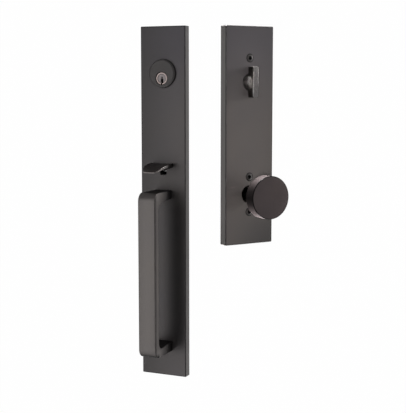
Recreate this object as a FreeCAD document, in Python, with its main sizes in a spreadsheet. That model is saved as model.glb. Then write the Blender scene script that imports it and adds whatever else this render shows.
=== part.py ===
import FreeCAD, Part
import math
import os
import Sketcher

# Entry door handleset: an exterior plate with keyed cylinder, thumbpiece and pull grip, and an
# interior plate with thumbturn and knob, which stands apart and turned beside it.
# Millimetres. X runs across the exterior plate, -Y points out of its front, +Z is up.
# The origin is on the latch axis, in the plane of the exterior plate's back.

Vector = FreeCAD.Vector
NEAR = 0.002
STILL = FreeCAD.Rotation()
CROSS = "XZ_Plane"
SIDE = "YZ_Plane"
LEVEL = "XY_Plane"

doc = FreeCAD.newDocument("door_handleset")
sheet = doc.addObject("Spreadsheet::Sheet", "dims")
sheet.Label = "driving dimensions"
os.makedirs("parts", exist_ok=True)


class Size:
    """A number together with the spreadsheet expression that gives it."""

    def __init__(self, value, text):
        self.value = float(value)
        self.text = text

    def joined(self, sign, other, value):
        return Size(value, f"({self.text} {sign} {other.text})")

    def __add__(self, other):
        other = as_size(other)
        return self.joined("+", other, self.value + other.value)

    def __sub__(self, other):
        other = as_size(other)
        return self.joined("-", other, self.value - other.value)

    def __mul__(self, other):
        other = as_size(other)
        return self.joined("*", other, self.value * other.value)

    def __truediv__(self, other):
        other = as_size(other)
        return self.joined("/", other, self.value / other.value)

    def __radd__(self, other):
        return as_size(other) + self

    def __rsub__(self, other):
        return as_size(other) - self

    def __rmul__(self, other):
        return as_size(other) * self

    def __neg__(self):
        return Size(-self.value, f"(-1 * {self.text})")

    def __float__(self):
        return self.value


def as_size(item):
    if isinstance(item, Size):
        return item
    return Size(item, f"({float(item):.6f})")


row_count = 0


def size(alias, value, note):
    global row_count
    row_count += 1
    sheet.set(f"A{row_count}", note)
    sheet.set(f"B{row_count}", str(value))
    sheet.setAlias(f"B{row_count}", alias)
    return Size(value, f"dims.{alias}")


# Plates
plate_width = size("plate_width", 69.85, "both plates, side to side")
plate_depth = size("plate_depth", 12.0, "both plates, back to front")
front_wall = size("front_wall", 3.8, "front wall of the hollow plates")
rim_wall = size("rim_wall", 4.0, "side walls of the hollow plates")
edge_round = size("edge_round", 1.2, "rounding of the plates' front edges")
outer_top = size("outer_top", 212.7, "exterior plate's top above the latch axis")
outer_bottom = size("outer_bottom", 288.95, "exterior plate's bottom below the latch axis")
inner_top = size("inner_top", 208.55, "interior plate's top above the latch axis")
inner_bottom = size("inner_bottom", 62.85, "interior plate's bottom below the latch axis")
bolt_spacing = size("bolt_spacing", 139.7, "latch axis to deadbolt axis")
inner_x = size("inner_x", 166.5, "interior half's latch axis, across")
inner_y = size("inner_y", -119.0, "interior half's latch axis, depth")
inner_z = size("inner_z", -6.0, "interior half's latch axis, height")
inner_turn = size("inner_turn", 55.0, "interior half's turn about the vertical, degrees")

# Keyed cylinder
head_radius = size("head_radius", 19.9, "cylinder head")
head_proud = size("head_proud", 4.6, "cylinder head in front of the plate")
head_round = size("head_round", 2.0, "rounding of the cylinder head's front edge")
head_gap = size("head_gap", 0.25, "gap round the cylinder head")
face_rise = size("face_rise", 7.0, "cylinder head's centre above the plug axis")
flange_radius = size("flange_radius", 23.0, "cylinder flange behind the plate wall")
flange_depth = size("flange_depth", 4.0, "cylinder flange, front to back")
flange_flat = size("flange_flat", 17.4, "flat on the flange that clears the upper post")
flange_lip = size("flange_lip", 6.0, "cylinder flange beyond the body behind it")
housing_back = size("housing_back", 20.0, "cylinder body behind the plate's back plane")
plug_head_radius = size("plug_head_radius", 8.9, "rimmed head of the plug")
plug_head_depth = size("plug_head_depth", 3.0, "plug head, front to back")
mouth_gap = size("mouth_gap", 0.5, "gap round the plug's head in the cylinder's face")
plug_recess = size("plug_recess", 0.8, "plug head behind the cylinder's face")
plug_radius = size("plug_radius", 6.35, "plug body")
plug_fit = size("plug_fit", 0.05, "radial running clearance of the plug")
plug_flat_radius = size("plug_flat_radius", 6.1, "flat inside the plug's rim")
plug_dish = size("plug_dish", 0.9, "flat behind the rim's crest")
pin_count = 5
pin_first = size("pin_first", 0.0, "first pin chamber behind the plate's back plane")
pin_pitch = size("pin_pitch", 3.9, "pin chamber spacing")
pin_radius = size("pin_radius", 1.42, "key pins and driver pins")
pin_gap = size("pin_gap", 0.08, "radial clearance of the pins")
key_pin_top = size("key_pin_top", 6.15, "top of the key pins above the plug axis")
driver_length = size("driver_length", 5.4, "driver pins")
cover_width = size("cover_width", 5.2, "strip that closes the pin chambers")
cover_depth = size("cover_depth", 1.4, "strip, thickness")
seat_gap = size("seat_gap", 0.05, "clearance of a strip or spigot in its seat")
keyway_depth = size("keyway_depth", 27.0, "keyway, front to back")
cap_radius = size("cap_radius", 7.6, "cap on the plug's rear end")
stub_radius = size("stub_radius", 5.2, "plug's rear end inside the cap")
stub_length = size("stub_length", 3.0, "plug's rear end behind the cylinder body")
tail_width = size("tail_width", 8.0, "tailpiece blade")
tail_thick = size("tail_thick", 1.6, "tailpiece blade, thickness")
tail_back = size("tail_back", 48.0, "tailpiece behind the plate's back plane")
tail_head = size("tail_head", 1.3, "tailpiece head inside the cap")
fork_thick = size("fork_thick", 1.6, "fork plate that clamps the cylinder flange")
fork_high = size("fork_high", 9.0, "fork plate above the cylinder's centre")
boss_radius = size("boss_radius", 3.2, "bosses under the fork plate and the spring case ears")
boss_gap = size("boss_gap", 0.5, "bosses from the flange between them")

# Thumbpiece and its bracket
slot_width = size("slot_width", 10.3, "slot in the plate for the thumbpiece")
slot_low = size("slot_low", 3.4, "slot's bottom above the latch axis")
slot_high = size("slot_high", 18.2, "slot's top above the latch axis")
slot_round = size("slot_round", 1.2, "slot's corners")
pivot_back = size("pivot_back", 3.0, "pivot in front of the plate's back plane")
pivot_up = size("pivot_up", 13.0, "pivot above the latch axis")
pivot_radius = size("pivot_radius", 2.0, "pivot pin")
pivot_fit = size("pivot_fit", 0.06, "radial running clearance on the pivot pin")
eye_radius = size("eye_radius", 4.2, "pivot eye")
neck_width = size("neck_width", 6.4, "thumbpiece neck and tail")
neck_reach = size("neck_reach", 15.0, "neck under the thumb pad, from the pad's rear")
neck_top = size("neck_top", 5.2, "neck's front below the pad's rear top")
neck_slant = size("neck_slant", 2.0, "slants at the ends of the neck")
neck_drop = size("neck_drop", 2.9, "neck's underside below the pivot")
tail_root = size("tail_root", 5.0, "root of the lift tail behind the pivot")
tail_reach = size("tail_reach", 38.5, "lift tail behind the plate's back plane")
tail_up = size("tail_up", 3.0, "lift tail's tip above the latch axis")
tail_tip = size("tail_tip", 2.6, "lift tail's tip, height")
tail_rise = size("tail_rise", 2.4, "rise of the lift tail's back towards its bend")
pad_gap = size("pad_gap", 3.0, "thumb pad's rear in front of the plate")
pad_length = size("pad_length", 42.5, "thumb pad, rear to lip")
pad_half = size("pad_half", 16.8, "thumb pad, half width at its widest")
pad_top = size("pad_top", 20.6, "thumb pad's rear top above the latch axis")
pad_round = size("pad_round", 2.4, "rounding of the thumb pad's rear edges")
ear_inner = size("ear_inner", 5.4, "bracket ears from the middle")
sheet_steel = size("sheet_steel", 1.6, "bracket sheet")
ear_back = size("ear_back", 3.4, "bracket ears behind the plate's back plane")
ear_low = size("ear_low", 1.0, "bracket ears' bottom above the latch axis")
stop_high = size("stop_high", 7.6, "top of the web that stops the lift tail")
bracket_edge = size("bracket_edge", 3.0, "bracket foot beyond its screws")
bracket_low = size("bracket_low", 12.6, "bracket foot below the latch axis")
bracket_high = size("bracket_high", 17.5, "bracket foot above the latch axis")
bracket_screw_gap = size("bracket_screw_gap", 1.3, "bracket screws' heads from the ears")
bracket_screw_up = size("bracket_screw_up", 12.0, "upper bracket screws above the latch axis")
bracket_screw_down = size("bracket_screw_down", 8.0, "lower bracket screws below the latch axis")
coil_wire = size("coil_wire", 0.5, "thumb spring wire")
coil_radius = size("coil_radius", 2.9, "thumb spring, mean radius")
coil_leg = size("coil_leg", 2.2, "thumb spring's legs")

# Grip
grip_width = size("grip_width", 26.4, "grip, side to side")
grip_reach = size("grip_reach", 53.8, "grip's front in front of the plate")
grip_bar = size("grip_bar", 12.0, "grip's bar, back to front")
grip_top = size("grip_top", 18.2, "grip's top below the latch axis")
grip_bottom = size("grip_bottom", 252.2, "grip's bottom below the latch axis")
arm_top = size("arm_top", 11.8, "upper arm at the plate")
arm_bottom = size("arm_bottom", 14.6, "lower arm at the plate")
arm_slope = size("arm_slope", 4.0, "drop of both arms' inner faces towards the grip")
bend_outside = size("bend_outside", 12.0, "grip's outside bends")
bend_inside = size("bend_inside", 11.0, "grip's inside bends")
grip_round = size("grip_round", 1.2, "rounding along the grip's edges")
grip_screw_edge = size("grip_screw_edge", 4.4, "grip screws from the grip's sides")
grip_screw_grow = size("grip_screw_grow", 8.4, "grip screws' length in the arms")

# Posts and screws
post_radius = size("post_radius", 4.2, "hexagonal threaded post, corners")
post_back = size("post_back", 26.0, "threaded post behind the plate's back plane")
post_bore = size("post_bore", 2.1, "tapped hole of the post")
post_bore_depth = size("post_bore_depth", 28.0, "tapped hole, depth")
drill_point = size("drill_point", 1.2, "cone at the end of a drilled hole")
spigot_radius = size("spigot_radius", 1.5, "post's spigot in the plate wall")
spigot_depth = size("spigot_depth", 2.0, "spigot's length")
bolt_offset = size("bolt_offset", 22.0, "latch screws above and below the latch axis")
top_screw_up = size("top_screw_up", 29.5, "top screw above the deadbolt axis")
screw_head = size("screw_head", 5.0, "countersunk screw head")
screw_shank = size("screw_shank", 2.45, "countersunk screw shank")
screw_hole = size("screw_hole", 2.75, "hole for the countersunk screw")
screw_reach = size("screw_reach", 44.0, "countersunk screws behind the plate's back plane")
screw_crown = size("screw_crown", 0.7, "crown of the countersunk head")
recess_deep = size("recess_deep", 2.4, "cross recess, depth")
point_long = size("point_long", 1.0, "chamfer at the countersunk screw's end, length")
point_taper = size("point_taper", 0.8, "chamfer at the countersunk screw's end, off its radius")
small_head = size("small_head", 2.6, "small screw head")
small_height = size("small_height", 1.9, "small screw head, height")
small_shank = size("small_shank", 1.2, "small screw shank")
small_hole = size("small_hole", 1.25, "tapped hole for a small screw")
small_grip = size("small_grip", 2.3, "small screw's length in the plate wall")
grip_head = size("grip_head", 3.5, "grip screw head")
grip_head_height = size("grip_head_height", 3.9, "grip screw head, height")
grip_shank = size("grip_shank", 1.6, "grip screw shank")
hex_socket = size("hex_socket", 3.0, "hex socket, across flats")
socket_depth = size("socket_depth", 2.1, "hex socket, depth")
screw_play = size("screw_play", 0.2, "radial clearance of the small screws in their sheets")
tap_play = size("tap_play", 0.3, "tapped holes beyond the ends of their screws")

# Thumbturn
turn_height = size("turn_height", 38.0, "thumbturn paddle")
turn_width = size("turn_width", 8.4, "thumbturn paddle, thickness")
turn_reach = size("turn_reach", 13.5, "thumbturn's front in front of the plate")
turn_clear = size("turn_clear", 2.1, "paddle in front of the plate")
turn_round = size("turn_round", 1.3, "rounding of the paddle's edges")
cone_radius = size("cone_radius", 8.6, "foot of the thumbturn's cone")
cone_tip = size("cone_tip", 7.2, "top of the thumbturn's cone")
cone_reach = size("cone_reach", 8.8, "top of the cone in front of the plate")
collar_radius = size("collar_radius", 10.6, "ring under the thumbturn")
collar_depth = size("collar_depth", 1.5, "ring, thickness")
collar_round = size("collar_round", 0.5, "rounding of the ring's front edge")
stem_radius = size("stem_radius", 5.5, "thumbturn stem")
stem_fit = size("stem_fit", 0.08, "radial running clearance of the stem")
stem_back = size("stem_back", 8.0, "stem behind the plate's back plane")
clip_depth = size("clip_depth", 1.0, "retaining clip, thickness")
clip_bite = size("clip_bite", 1.1, "depth of the clip's groove")
clip_rim = size("clip_rim", 3.0, "clip outside its shaft")
washer_depth = size("washer_depth", 0.7, "washer behind the thumbturn's bore")
easy = size("easy", 0.3, "gap between faces that turn past each other")
slim = size("slim", 0.05, "clearance of clips in their grooves")

# Knob and return spring
knob_radius = size("knob_radius", 26.5, "knob disc")
knob_reach = size("knob_reach", 47.9, "knob's front in front of the plate")
knob_depth = size("knob_depth", 16.0, "knob disc, thickness")
knob_round = size("knob_round", 1.0, "rounding of the knob's front edge")
knob_back_round = size("knob_back_round", 1.6, "rounding of the knob's rear edge")
neck_radius = size("neck_radius", 8.5, "knob neck")
neck_flare = size("neck_flare", 13.0, "neck where it meets the disc")
flare_length = size("flare_length", 7.0, "flared part of the neck")
neck_end = size("neck_end", 3.0, "neck's end in front of the plate's back plane")
neck_fit = size("neck_fit", 0.08, "radial running clearance of the neck")
knob_hole = size("knob_hole", 11.4, "hole in the plate round the neck")
ring_sunk = size("ring_sunk", 3.0, "bushing's nose behind the plate's front")
nose_radius = size("nose_radius", 9.7, "bushing's nose round the neck")
bushing_flange = size("bushing_flange", 17.5, "bushing flange and spring case")
bushing_depth = size("bushing_depth", 2.0, "bushing flange, thickness")
case_wall = size("case_wall", 1.6, "spring case wall")
case_back = size("case_back", 5.6, "spring case behind the plate's back plane")
case_hole = size("case_hole", 8.0, "hole in the spring case's floor")
case_ear = size("case_ear", 3.4, "spring case ears")
hub_radius = size("hub_radius", 7.6, "driver hub")
hub_front = size("hub_front", 2.8, "driver hub in front of the plate's back plane")
hub_back = size("hub_back", 4.2, "driver hub behind the plate's back plane")
lug_reach = size("lug_reach", 14.4, "driver hub's lug from the axis")
lug_half = size("lug_half", 1.6, "driver hub's lug, half width")
lug_depth = size("lug_depth", 1.6, "driver hub's lug, thickness")
spring_radius = size("spring_radius", 11.5, "knob spring, mean radius")
spring_wire = size("spring_wire", 1.5, "knob spring wire")
spring_pitch = size("spring_pitch", 1.6, "knob spring, rise for each turn")
spring_leg = size("spring_leg", 3.0, "knob spring's legs")
spindle_side = size("spindle_side", 7.9, "square spindle")
spindle_fit = size("spindle_fit", 0.1, "clearance on each side of the spindle")
spindle_front = size("spindle_front", 34.0, "spindle in front of the plate's back plane")
spindle_back = size("spindle_back", 44.0, "spindle behind the plate's back plane")
set_radius = size("set_radius", 2.5, "set screw")
set_place = size("set_place", 21.0, "set screw in front of the plate's back plane")

half_width = plate_width / 2
wall_back = plate_depth - front_wall
cylinder_up = bolt_spacing + face_rise
head_front = plate_depth + head_proud
plug_front = head_front - plug_recess
housing_radius = flange_radius - flange_lip
boss_back = wall_back - flange_depth
grip_upper = -(grip_top + arm_top / 2)
grip_lower = -(grip_bottom - arm_bottom / 2)
knob_front = plate_depth + knob_reach
knob_back = knob_front - knob_depth
case_front = wall_back - bushing_depth
fork_screw = (flange_radius + boss_radius + boss_gap) * math.sqrt(0.5)
fork_half = fork_screw + boss_radius
case_screw_x = bushing_flange + boss_radius + boss_gap
bracket_screw_x = ear_inner + sheet_steel + small_head + bracket_screw_gap
bracket_half = bracket_screw_x + bracket_edge
grip_screw_x = grip_width / 2 - grip_screw_edge
doc.recompute()


def tie(item, name, amount):
    item.setExpression(name, as_size(amount).text)


def new_body(name):
    body = doc.addObject("PartDesign::Body", name)
    body.Label = name
    return body


def sketch_on(body, role, offset=0.0):
    sketch = body.newObject("Sketcher::SketchObject", body.Name + "_outline")
    for feature in body.Origin.OriginFeatures:
        if feature.Role == role:
            sketch.AttachmentSupport = [(feature, "")]
    sketch.MapMode = "FlatFace"
    sketch.AttachmentOffset = FreeCAD.Placement(Vector(0, 0, float(offset)), STILL)
    tie(sketch, "AttachmentOffset.Base.z", offset)
    return sketch


def hold_point(sketch, element, end, point):
    horizontal, vertical = point
    wanted = (("DistanceX", horizontal, -2), ("DistanceY", vertical, -1))
    for kind, amount, axis in wanted:
        if float(amount) == 0.0:
            sketch.addConstraint(Sketcher.Constraint("PointOnObject", element, end, axis))
            continue
        index = sketch.addConstraint(Sketcher.Constraint(kind, element, end, float(amount)))
        if isinstance(amount, Size):
            sketch.setExpression(f"Constraints[{index}]", amount.text)


def outline(sketch, points):
    first = sketch.GeometryCount
    count = len(points)
    spots = [Vector(float(across), float(up), 0) for across, up in points]
    for index in range(count):
        edge = Part.LineSegment(spots[index], spots[(index + 1) % count])
        sketch.addGeometry(edge, False)
    for index in range(count):
        here = first + index
        following = first + (index + 1) % count
        sketch.addConstraint(Sketcher.Constraint("Coincident", here, 2, following, 1))
        hold_point(sketch, here, 1, points[index])


def rectangle(sketch, left, low, right, high):
    outline(sketch, [(left, low), (right, low), (right, high), (left, high)])


def circle(sketch, across, up, radius):
    shape = Part.Circle(Vector(float(across), float(up), 0), Vector(0, 0, 1), float(radius))
    element = sketch.addGeometry(shape, False)
    hold_point(sketch, element, 3, (across, up))
    index = sketch.addConstraint(Sketcher.Constraint("Radius", element, float(radius)))
    sketch.setExpression(f"Constraints[{index}]", as_size(radius).text)


volumes = {}


def finished(body, feature, grows):
    before = volumes.get(body.Name, 0.0)
    doc.recompute()
    after = feature.Shape.Volume
    if (after - before) * (1 if grows else -1) < NEAR:
        raise RuntimeError(f"{feature.Name} in {body.Name} changes nothing")
    volumes[body.Name] = after
    return feature


def pad(body, sketch, length, both_ways=False):
    feature = body.newObject("PartDesign::Pad", body.Name + "_pad")
    feature.Profile = sketch
    feature.SideType = "Symmetric" if both_ways else "One side"
    tie(feature, "Length", length)
    return finished(body, feature, True)


def pocket(body, sketch, length=None, towards_normal=True, both_ways=False):
    feature = body.newObject("PartDesign::Pocket", body.Name + "_pocket")
    feature.Profile = sketch
    feature.Reversed = towards_normal
    feature.SideType = "Symmetric" if both_ways else "One side"
    if length is None:
        feature.Type = "ThroughAll"
    else:
        tie(feature, "Length", length)
    return finished(body, feature, False)


def turned(body, points, axis="V_Axis", cut=False):
    sketch = sketch_on(body, LEVEL)
    outline(sketch, points)
    kind = "Groove" if cut else "Revolution"
    feature = body.newObject(f"PartDesign::{kind}", body.Name + "_turned")
    feature.Profile = sketch
    feature.ReferenceAxis = (sketch, [axis])
    feature.Angle = 360
    return finished(body, feature, not cut)


def eased(across, depth, amount, rear=False, steps=2):
    """Outline points that round an outer corner of a turned piece in a few flats."""
    points = []
    for step in range(steps + 1):
        lean = math.radians(90 * step / steps)
        out = across - amount * (1 - math.sin(lean))
        along = amount * (1 - math.cos(lean))
        points.append((out, depth - along if rear else depth + along))
    return points[::-1] if rear else points


def lies(edge, axis, place):
    if edge.Degenerated:
        return False
    return all(abs(getattr(point, axis) - float(place)) < NEAR for point in edge.discretize(7))


def passes(edge, **spots):
    """The edge is straight or round and all of it has the given coordinates."""
    return all(lies(edge, axis, place) for axis, place in spots.items())


def soften(body, amount, wanted, kind="Fillet"):
    base = body.Tip
    names = [f"Edge{index}" for index, edge in enumerate(base.Shape.Edges, 1) if wanted(edge)]
    if not names:
        raise RuntimeError(f"no edge of {body.Name} to soften")
    feature = body.newObject(f"PartDesign::{kind}", body.Name + "_soft")
    feature.Base = (base, names)
    tie(feature, "Radius" if kind == "Fillet" else "Size", amount)
    doc.recompute()
    volumes[body.Name] = feature.Shape.Volume
    return feature


def seat(item, across=0.0, depth=0.0, up=0.0, inside=False):
    """Puts a piece in its own half: the interior half is turned about the vertical."""
    if not inside:
        for axis, amount in (("x", across), ("y", depth), ("z", up)):
            tie(item, f"Placement.Base.{axis}", amount)
        return
    angle = f"({inner_turn.text} * 1deg)"
    across, depth, up = as_size(across), as_size(depth), as_size(up)
    item.Placement = FreeCAD.Placement(Vector(), FreeCAD.Rotation(Vector(0, 0, 1), float(inner_turn)))
    item.setExpression("Placement.Rotation.Angle", angle)
    item.setExpression(
        "Placement.Base.x",
        f"{inner_x.text} + {across.text} * cos({angle}) - {depth.text} * sin({angle})")
    item.setExpression(
        "Placement.Base.y",
        f"{inner_y.text} + {across.text} * sin({angle}) + {depth.text} * cos({angle})")
    item.setExpression("Placement.Base.z", f"{inner_z.text} + {up.text}")


def group(name, shapes, inside=False):
    """Like fasteners and pins are one group of separate solids."""
    item = doc.addObject("Part::Feature", name)
    item.Label = name
    item.Shape = Part.makeCompound(shapes)
    seat(item, inside=inside)
    return item


def copied(shape, across, depth, up, spin=0.0):
    copy = shape.copy()
    copy.rotate(Vector(), Vector(0, 0, 1), spin)
    copy.translate(Vector(float(across), float(depth), float(up)))
    return copy


# The same hollow casting serves both halves: flat front, square corners, walls all round
def plate(name, top, bottom):
    body = new_body(name)
    face = sketch_on(body, CROSS)
    rectangle(face, -half_width, -bottom, half_width, top)
    pad(body, face, plate_depth)
    soften(body, edge_round, lambda edge: not lies(edge, "y", 0))
    hollow = sketch_on(body, CROSS)
    side = half_width - rim_wall
    rectangle(hollow, -side, rim_wall - bottom, side, top - rim_wall)
    pocket(body, hollow, wall_back)
    return body


def slot_outline(sketch):
    half = slot_width / 2
    rectangle(sketch, -half, slot_low, half, slot_high)


def grip_screw_places():
    places = []
    for up in (grip_upper, grip_lower):
        for across in (-grip_screw_x, grip_screw_x):
            places.append((across, up))
    return places


def post_places():
    return [-bolt_offset, bolt_offset, bolt_spacing + top_screw_up]


def bracket_places():
    places = []
    for up in (bracket_screw_up, -bracket_screw_down):
        for across in (-bracket_screw_x, bracket_screw_x):
            places.append((across, up))
    return places


def make_exterior_plate():
    body = plate("exterior_plate", outer_top, outer_bottom)
    bosses = sketch_on(body, CROSS, boss_back)
    for across in (-fork_screw, fork_screw):
        circle(bosses, across, cylinder_up - fork_screw, boss_radius)
    pad(body, bosses, flange_depth)
    openings = sketch_on(body, CROSS)
    circle(openings, 0, cylinder_up, head_radius + head_gap)
    slot_outline(openings)
    for across, up in grip_screw_places():
        circle(openings, across, up, grip_shank + 0.3)
    pocket(body, openings)
    blind = sketch_on(body, CROSS, wall_back)
    for up in post_places():
        circle(blind, 0, up, spigot_radius + seat_gap)
    for across, up in bracket_places():
        circle(blind, across, up, small_hole)
    pocket(body, blind, small_grip + tap_play)
    tapped = sketch_on(body, CROSS, boss_back)
    for across in (-fork_screw, fork_screw):
        circle(tapped, across, cylinder_up - fork_screw, small_hole)
    pocket(body, tapped, flange_depth + small_grip + tap_play)
    soften(body, slot_round, is_slot_corner)
    return body


def is_slot_corner(edge):
    half = float(slot_width) / 2
    for side in (-half, half):
        for level in (slot_low, slot_high):
            if passes(edge, x=side, z=level):
                return True
    return False


def make_cylinder_housing():
    body = new_body("cylinder_housing")
    turned(body, [
        (0, -head_front), *eased(head_radius, -head_front, head_round, steps=3),
        (head_radius, -wall_back),
        (flange_radius, -wall_back), (flange_radius, -boss_back),
        (housing_radius, -boss_back), (housing_radius, housing_back), (0, housing_back)])
    mouth = sketch_on(body, CROSS, head_front)
    circle(mouth, 0, -face_rise, plug_head_radius + mouth_gap)
    pocket(body, mouth, plug_recess + plug_head_depth + 0.1, towards_normal=False)
    bore = sketch_on(body, CROSS)
    circle(bore, 0, -face_rise, plug_radius + plug_fit)
    pocket(body, bore, None, both_ways=True)
    flat = sketch_on(body, CROSS, wall_back)
    rectangle(flat, -flange_radius, flange_flat, flange_radius, flange_radius + 1)
    pocket(body, flat, None, towards_normal=False)
    # Pin chambers run from the top of the body down into the plug bore
    chambers = sketch_on(body, LEVEL, housing_radius)
    for index in range(pin_count):
        circle(chambers, 0, pin_first + pin_pitch * index, pin_radius + pin_gap)
    pocket(body, chambers, housing_radius + face_rise, towards_normal=False)
    strip = sketch_on(body, LEVEL, housing_radius)
    margin = pin_radius + 1.4
    half = cover_width / 2 + seat_gap
    last = pin_first + pin_pitch * (pin_count - 1)
    rectangle(strip, -half, pin_first - margin, half, last + margin)
    pocket(body, strip, cover_depth + 0.3, towards_normal=False)
    seat(body, up=cylinder_up)
    return body


def make_chamber_cover():
    body = new_body("chamber_cover")
    strip = sketch_on(body, LEVEL, housing_radius - cover_depth - 0.3)
    margin = pin_radius + 1.4 - seat_gap
    last = pin_first + pin_pitch * (pin_count - 1)
    rectangle(strip, -(cover_width / 2), pin_first - margin, cover_width / 2, last + margin)
    pad(body, strip, cover_depth)
    seat(body, up=cylinder_up)
    return body


# Keyway outline, in millimetres from the plug axis: narrow at the top, warded in the middle and
# open through the rim at the bottom
keyway_outline = [
    (-0.6, 2.9), (0.6, 2.9), (0.6, -0.8), (2.0, -1.6), (2.0, -3.2), (1.2, -3.7), (1.2, -4.3),
    (2.0, -4.8), (2.0, -5.6), (0.6, -6.4), (0.6, -9.6), (-1.3, -9.6), (-1.3, -6.4), (-0.7, -5.8),
    (-0.7, -4.6), (-1.4, -4.1), (-1.4, -2.4), (-0.6, -1.4)]


def make_cylinder_plug():
    body = new_body("cylinder_plug")
    crest = plug_flat_radius + 0.8
    step = plug_front - plug_head_depth
    turned(body, [
        (0, plug_dish - plug_front), (plug_flat_radius, plug_dish - plug_front),
        (crest, -plug_front), (plug_head_radius - 0.7, -plug_front),
        (plug_head_radius, 0.6 - plug_front), (plug_head_radius, -step), (plug_radius, -step),
        (plug_radius, housing_back + 0.1), (stub_radius, housing_back + 0.1),
        (stub_radius, housing_back + stub_length), (0, housing_back + stub_length)])
    keyway = sketch_on(body, CROSS, plug_front)
    outline(keyway, keyway_outline)
    pocket(body, keyway, keyway_depth, towards_normal=False)
    chambers = sketch_on(body, LEVEL, plug_radius)
    for index in range(pin_count):
        circle(chambers, 0, pin_first + pin_pitch * index, pin_radius + pin_gap)
    pocket(body, chambers, plug_radius + 1.0, towards_normal=False)
    seat(body, up=bolt_spacing)
    return body


# Key pins are cut to different lengths and stand level with the top of the plug
key_pin_lengths = [4.4, 5.6, 3.8, 5.0, 4.1]


def pin_along(index):
    return pin_first + pin_pitch * index


def make_key_pins():
    shapes = []
    for index, length in enumerate(key_pin_lengths):
        point_height = 0.8
        top = bolt_spacing + key_pin_top
        pin = Part.makeCylinder(float(pin_radius), length - point_height)
        point = Part.makeCone(0.5, float(pin_radius), point_height)
        pin.translate(Vector(0, 0, point_height))
        whole = pin.fuse(point).removeSplitter()
        shapes.append(copied(whole, 0, pin_along(index), top - length))
    return group("key_pins", shapes)


def driver_base():
    return bolt_spacing + plug_radius + plug_fit + 0.1


def make_driver_pins():
    pin = Part.makeCylinder(float(pin_radius), float(driver_length))
    shapes = [copied(pin, 0, pin_along(index), driver_base()) for index in range(pin_count)]
    return group("driver_pins", shapes)


def coil(radius, wire, pitch, turns, sides, leg=0.0):
    """A square wire coil about Z in straight runs, with a leg that carries on at each end."""
    steps = round(turns * sides)
    corners = []
    for step in range(steps + 1):
        spin = 2 * math.pi * step / sides
        corners.append(Vector(radius * math.cos(spin), radius * math.sin(spin), pitch * step / sides))
    if leg > 0:
        before = (corners[0] - corners[1]).normalize()
        after = (corners[-1] - corners[-2]).normalize()
        corners[0] = corners[0] + before * leg
        corners[-1] = corners[-1] + after * leg
    half = wire / 2
    square = [(-half, -half), (half, -half), (half, half), (-half, half), (-half, -half)]
    section = Part.makePolygon([Vector(across, 0, up) for across, up in square])
    along = (corners[1] - corners[0]).normalize()
    section.Placement = FreeCAD.Placement(corners[0], FreeCAD.Rotation(Vector(0, 1, 0), along))
    right_corners = 1
    return Part.makePolygon(corners).makePipeShell([section], True, False, right_corners)


def make_pin_springs():
    low = driver_base() + driver_length
    high = cylinder_up + housing_radius - cover_depth - 0.3
    wire = 0.35
    turns = 3
    pitch = (float(high - low) - wire - 0.1) / turns
    spring = coil(float(pin_radius) - wire / 2 - 0.1, wire, pitch, turns, 8)
    shapes = []
    for index in range(pin_count):
        shapes.append(copied(spring, 0, pin_along(index), low + wire / 2 + 0.05))
    return group("pin_springs", shapes)


def make_plug_cap():
    body = new_body("plug_cap")
    front = housing_back + 0.15
    floor = housing_back + stub_length + tail_head + 0.1
    turned(body, [
        (stub_radius + seat_gap, front), (cap_radius, front), (cap_radius, floor + 1.2),
        (0, floor + 1.2), (0, floor), (stub_radius + seat_gap, floor)])
    slot = sketch_on(body, CROSS, -(floor + 2))
    half = tail_thick / 2 + 0.15
    tall = tail_width / 2 + 0.15
    rectangle(slot, -half, -tall, half, tall)
    pocket(body, slot, 3.5)
    seat(body, up=bolt_spacing)
    return body


def make_tailpiece():
    body = new_body("tailpiece")
    base = housing_back + stub_length + 0.05
    blade = sketch_on(body, SIDE)
    head = stub_radius - 0.3
    half = tail_width / 2
    outline(blade, [
        (base, -head), (base + tail_head, -head), (base + tail_head, -half),
        (tail_back, -half), (tail_back, half), (base + tail_head, half),
        (base + tail_head, head), (base, head)])
    pad(body, blade, tail_thick, both_ways=True)
    seat(body, up=bolt_spacing)
    return body


def make_cylinder_retainer():
    body = new_body("cylinder_retainer")
    face = sketch_on(body, CROSS, boss_back - fork_thick)
    gap = housing_radius + 0.3
    rectangle(face, -fork_half, -fork_half, fork_half, fork_high)
    pad(body, face, fork_thick)
    opening = sketch_on(body, CROSS, boss_back)
    circle(opening, 0, 0, gap)
    for across in (-fork_screw, fork_screw):
        circle(opening, across, -fork_screw, small_shank + screw_play)
    pocket(body, opening, None, towards_normal=False)
    seat(body, up=cylinder_up)
    return body


def cross_recess(body, offset, reach, depth, towards_normal):
    recess = sketch_on(body, CROSS, offset)
    thin = reach * 0.22
    outline(recess, [
        (-thin, -reach), (thin, -reach), (thin, -thin), (reach, -thin), (reach, thin),
        (thin, thin), (thin, reach), (-thin, reach), (-thin, thin), (-reach, thin),
        (-reach, -thin), (-thin, -thin)])
    pocket(body, recess, depth, towards_normal=towards_normal)


def hexagon(sketch, corner):
    flat = corner * math.sqrt(0.75)
    outline(sketch, [
        (corner, 0), (corner / 2, flat), (-(corner / 2), flat), (-corner, 0),
        (-(corner / 2), -flat), (corner / 2, -flat)])


# A hexagon-headed screw that goes in from behind: its seat is at y = 0, its shank runs forward
def small_screw(name, length):
    body = new_body(name)
    head = sketch_on(body, CROSS, -small_height)
    hexagon(head, small_head)
    pad(body, head, small_height)
    shank = sketch_on(body, CROSS)
    circle(shank, 0, 0, small_shank)
    pad(body, shank, length)
    return body.Shape


def make_retainer_screws():
    shape = small_screw("retainer_screw_model", fork_thick + flange_depth + small_grip)
    depth = fork_thick - boss_back
    shapes = []
    for across in (-fork_screw, fork_screw):
        shapes.append(copied(shape, across, depth, cylinder_up - fork_screw))
    return group("retainer_screws", shapes)


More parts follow.
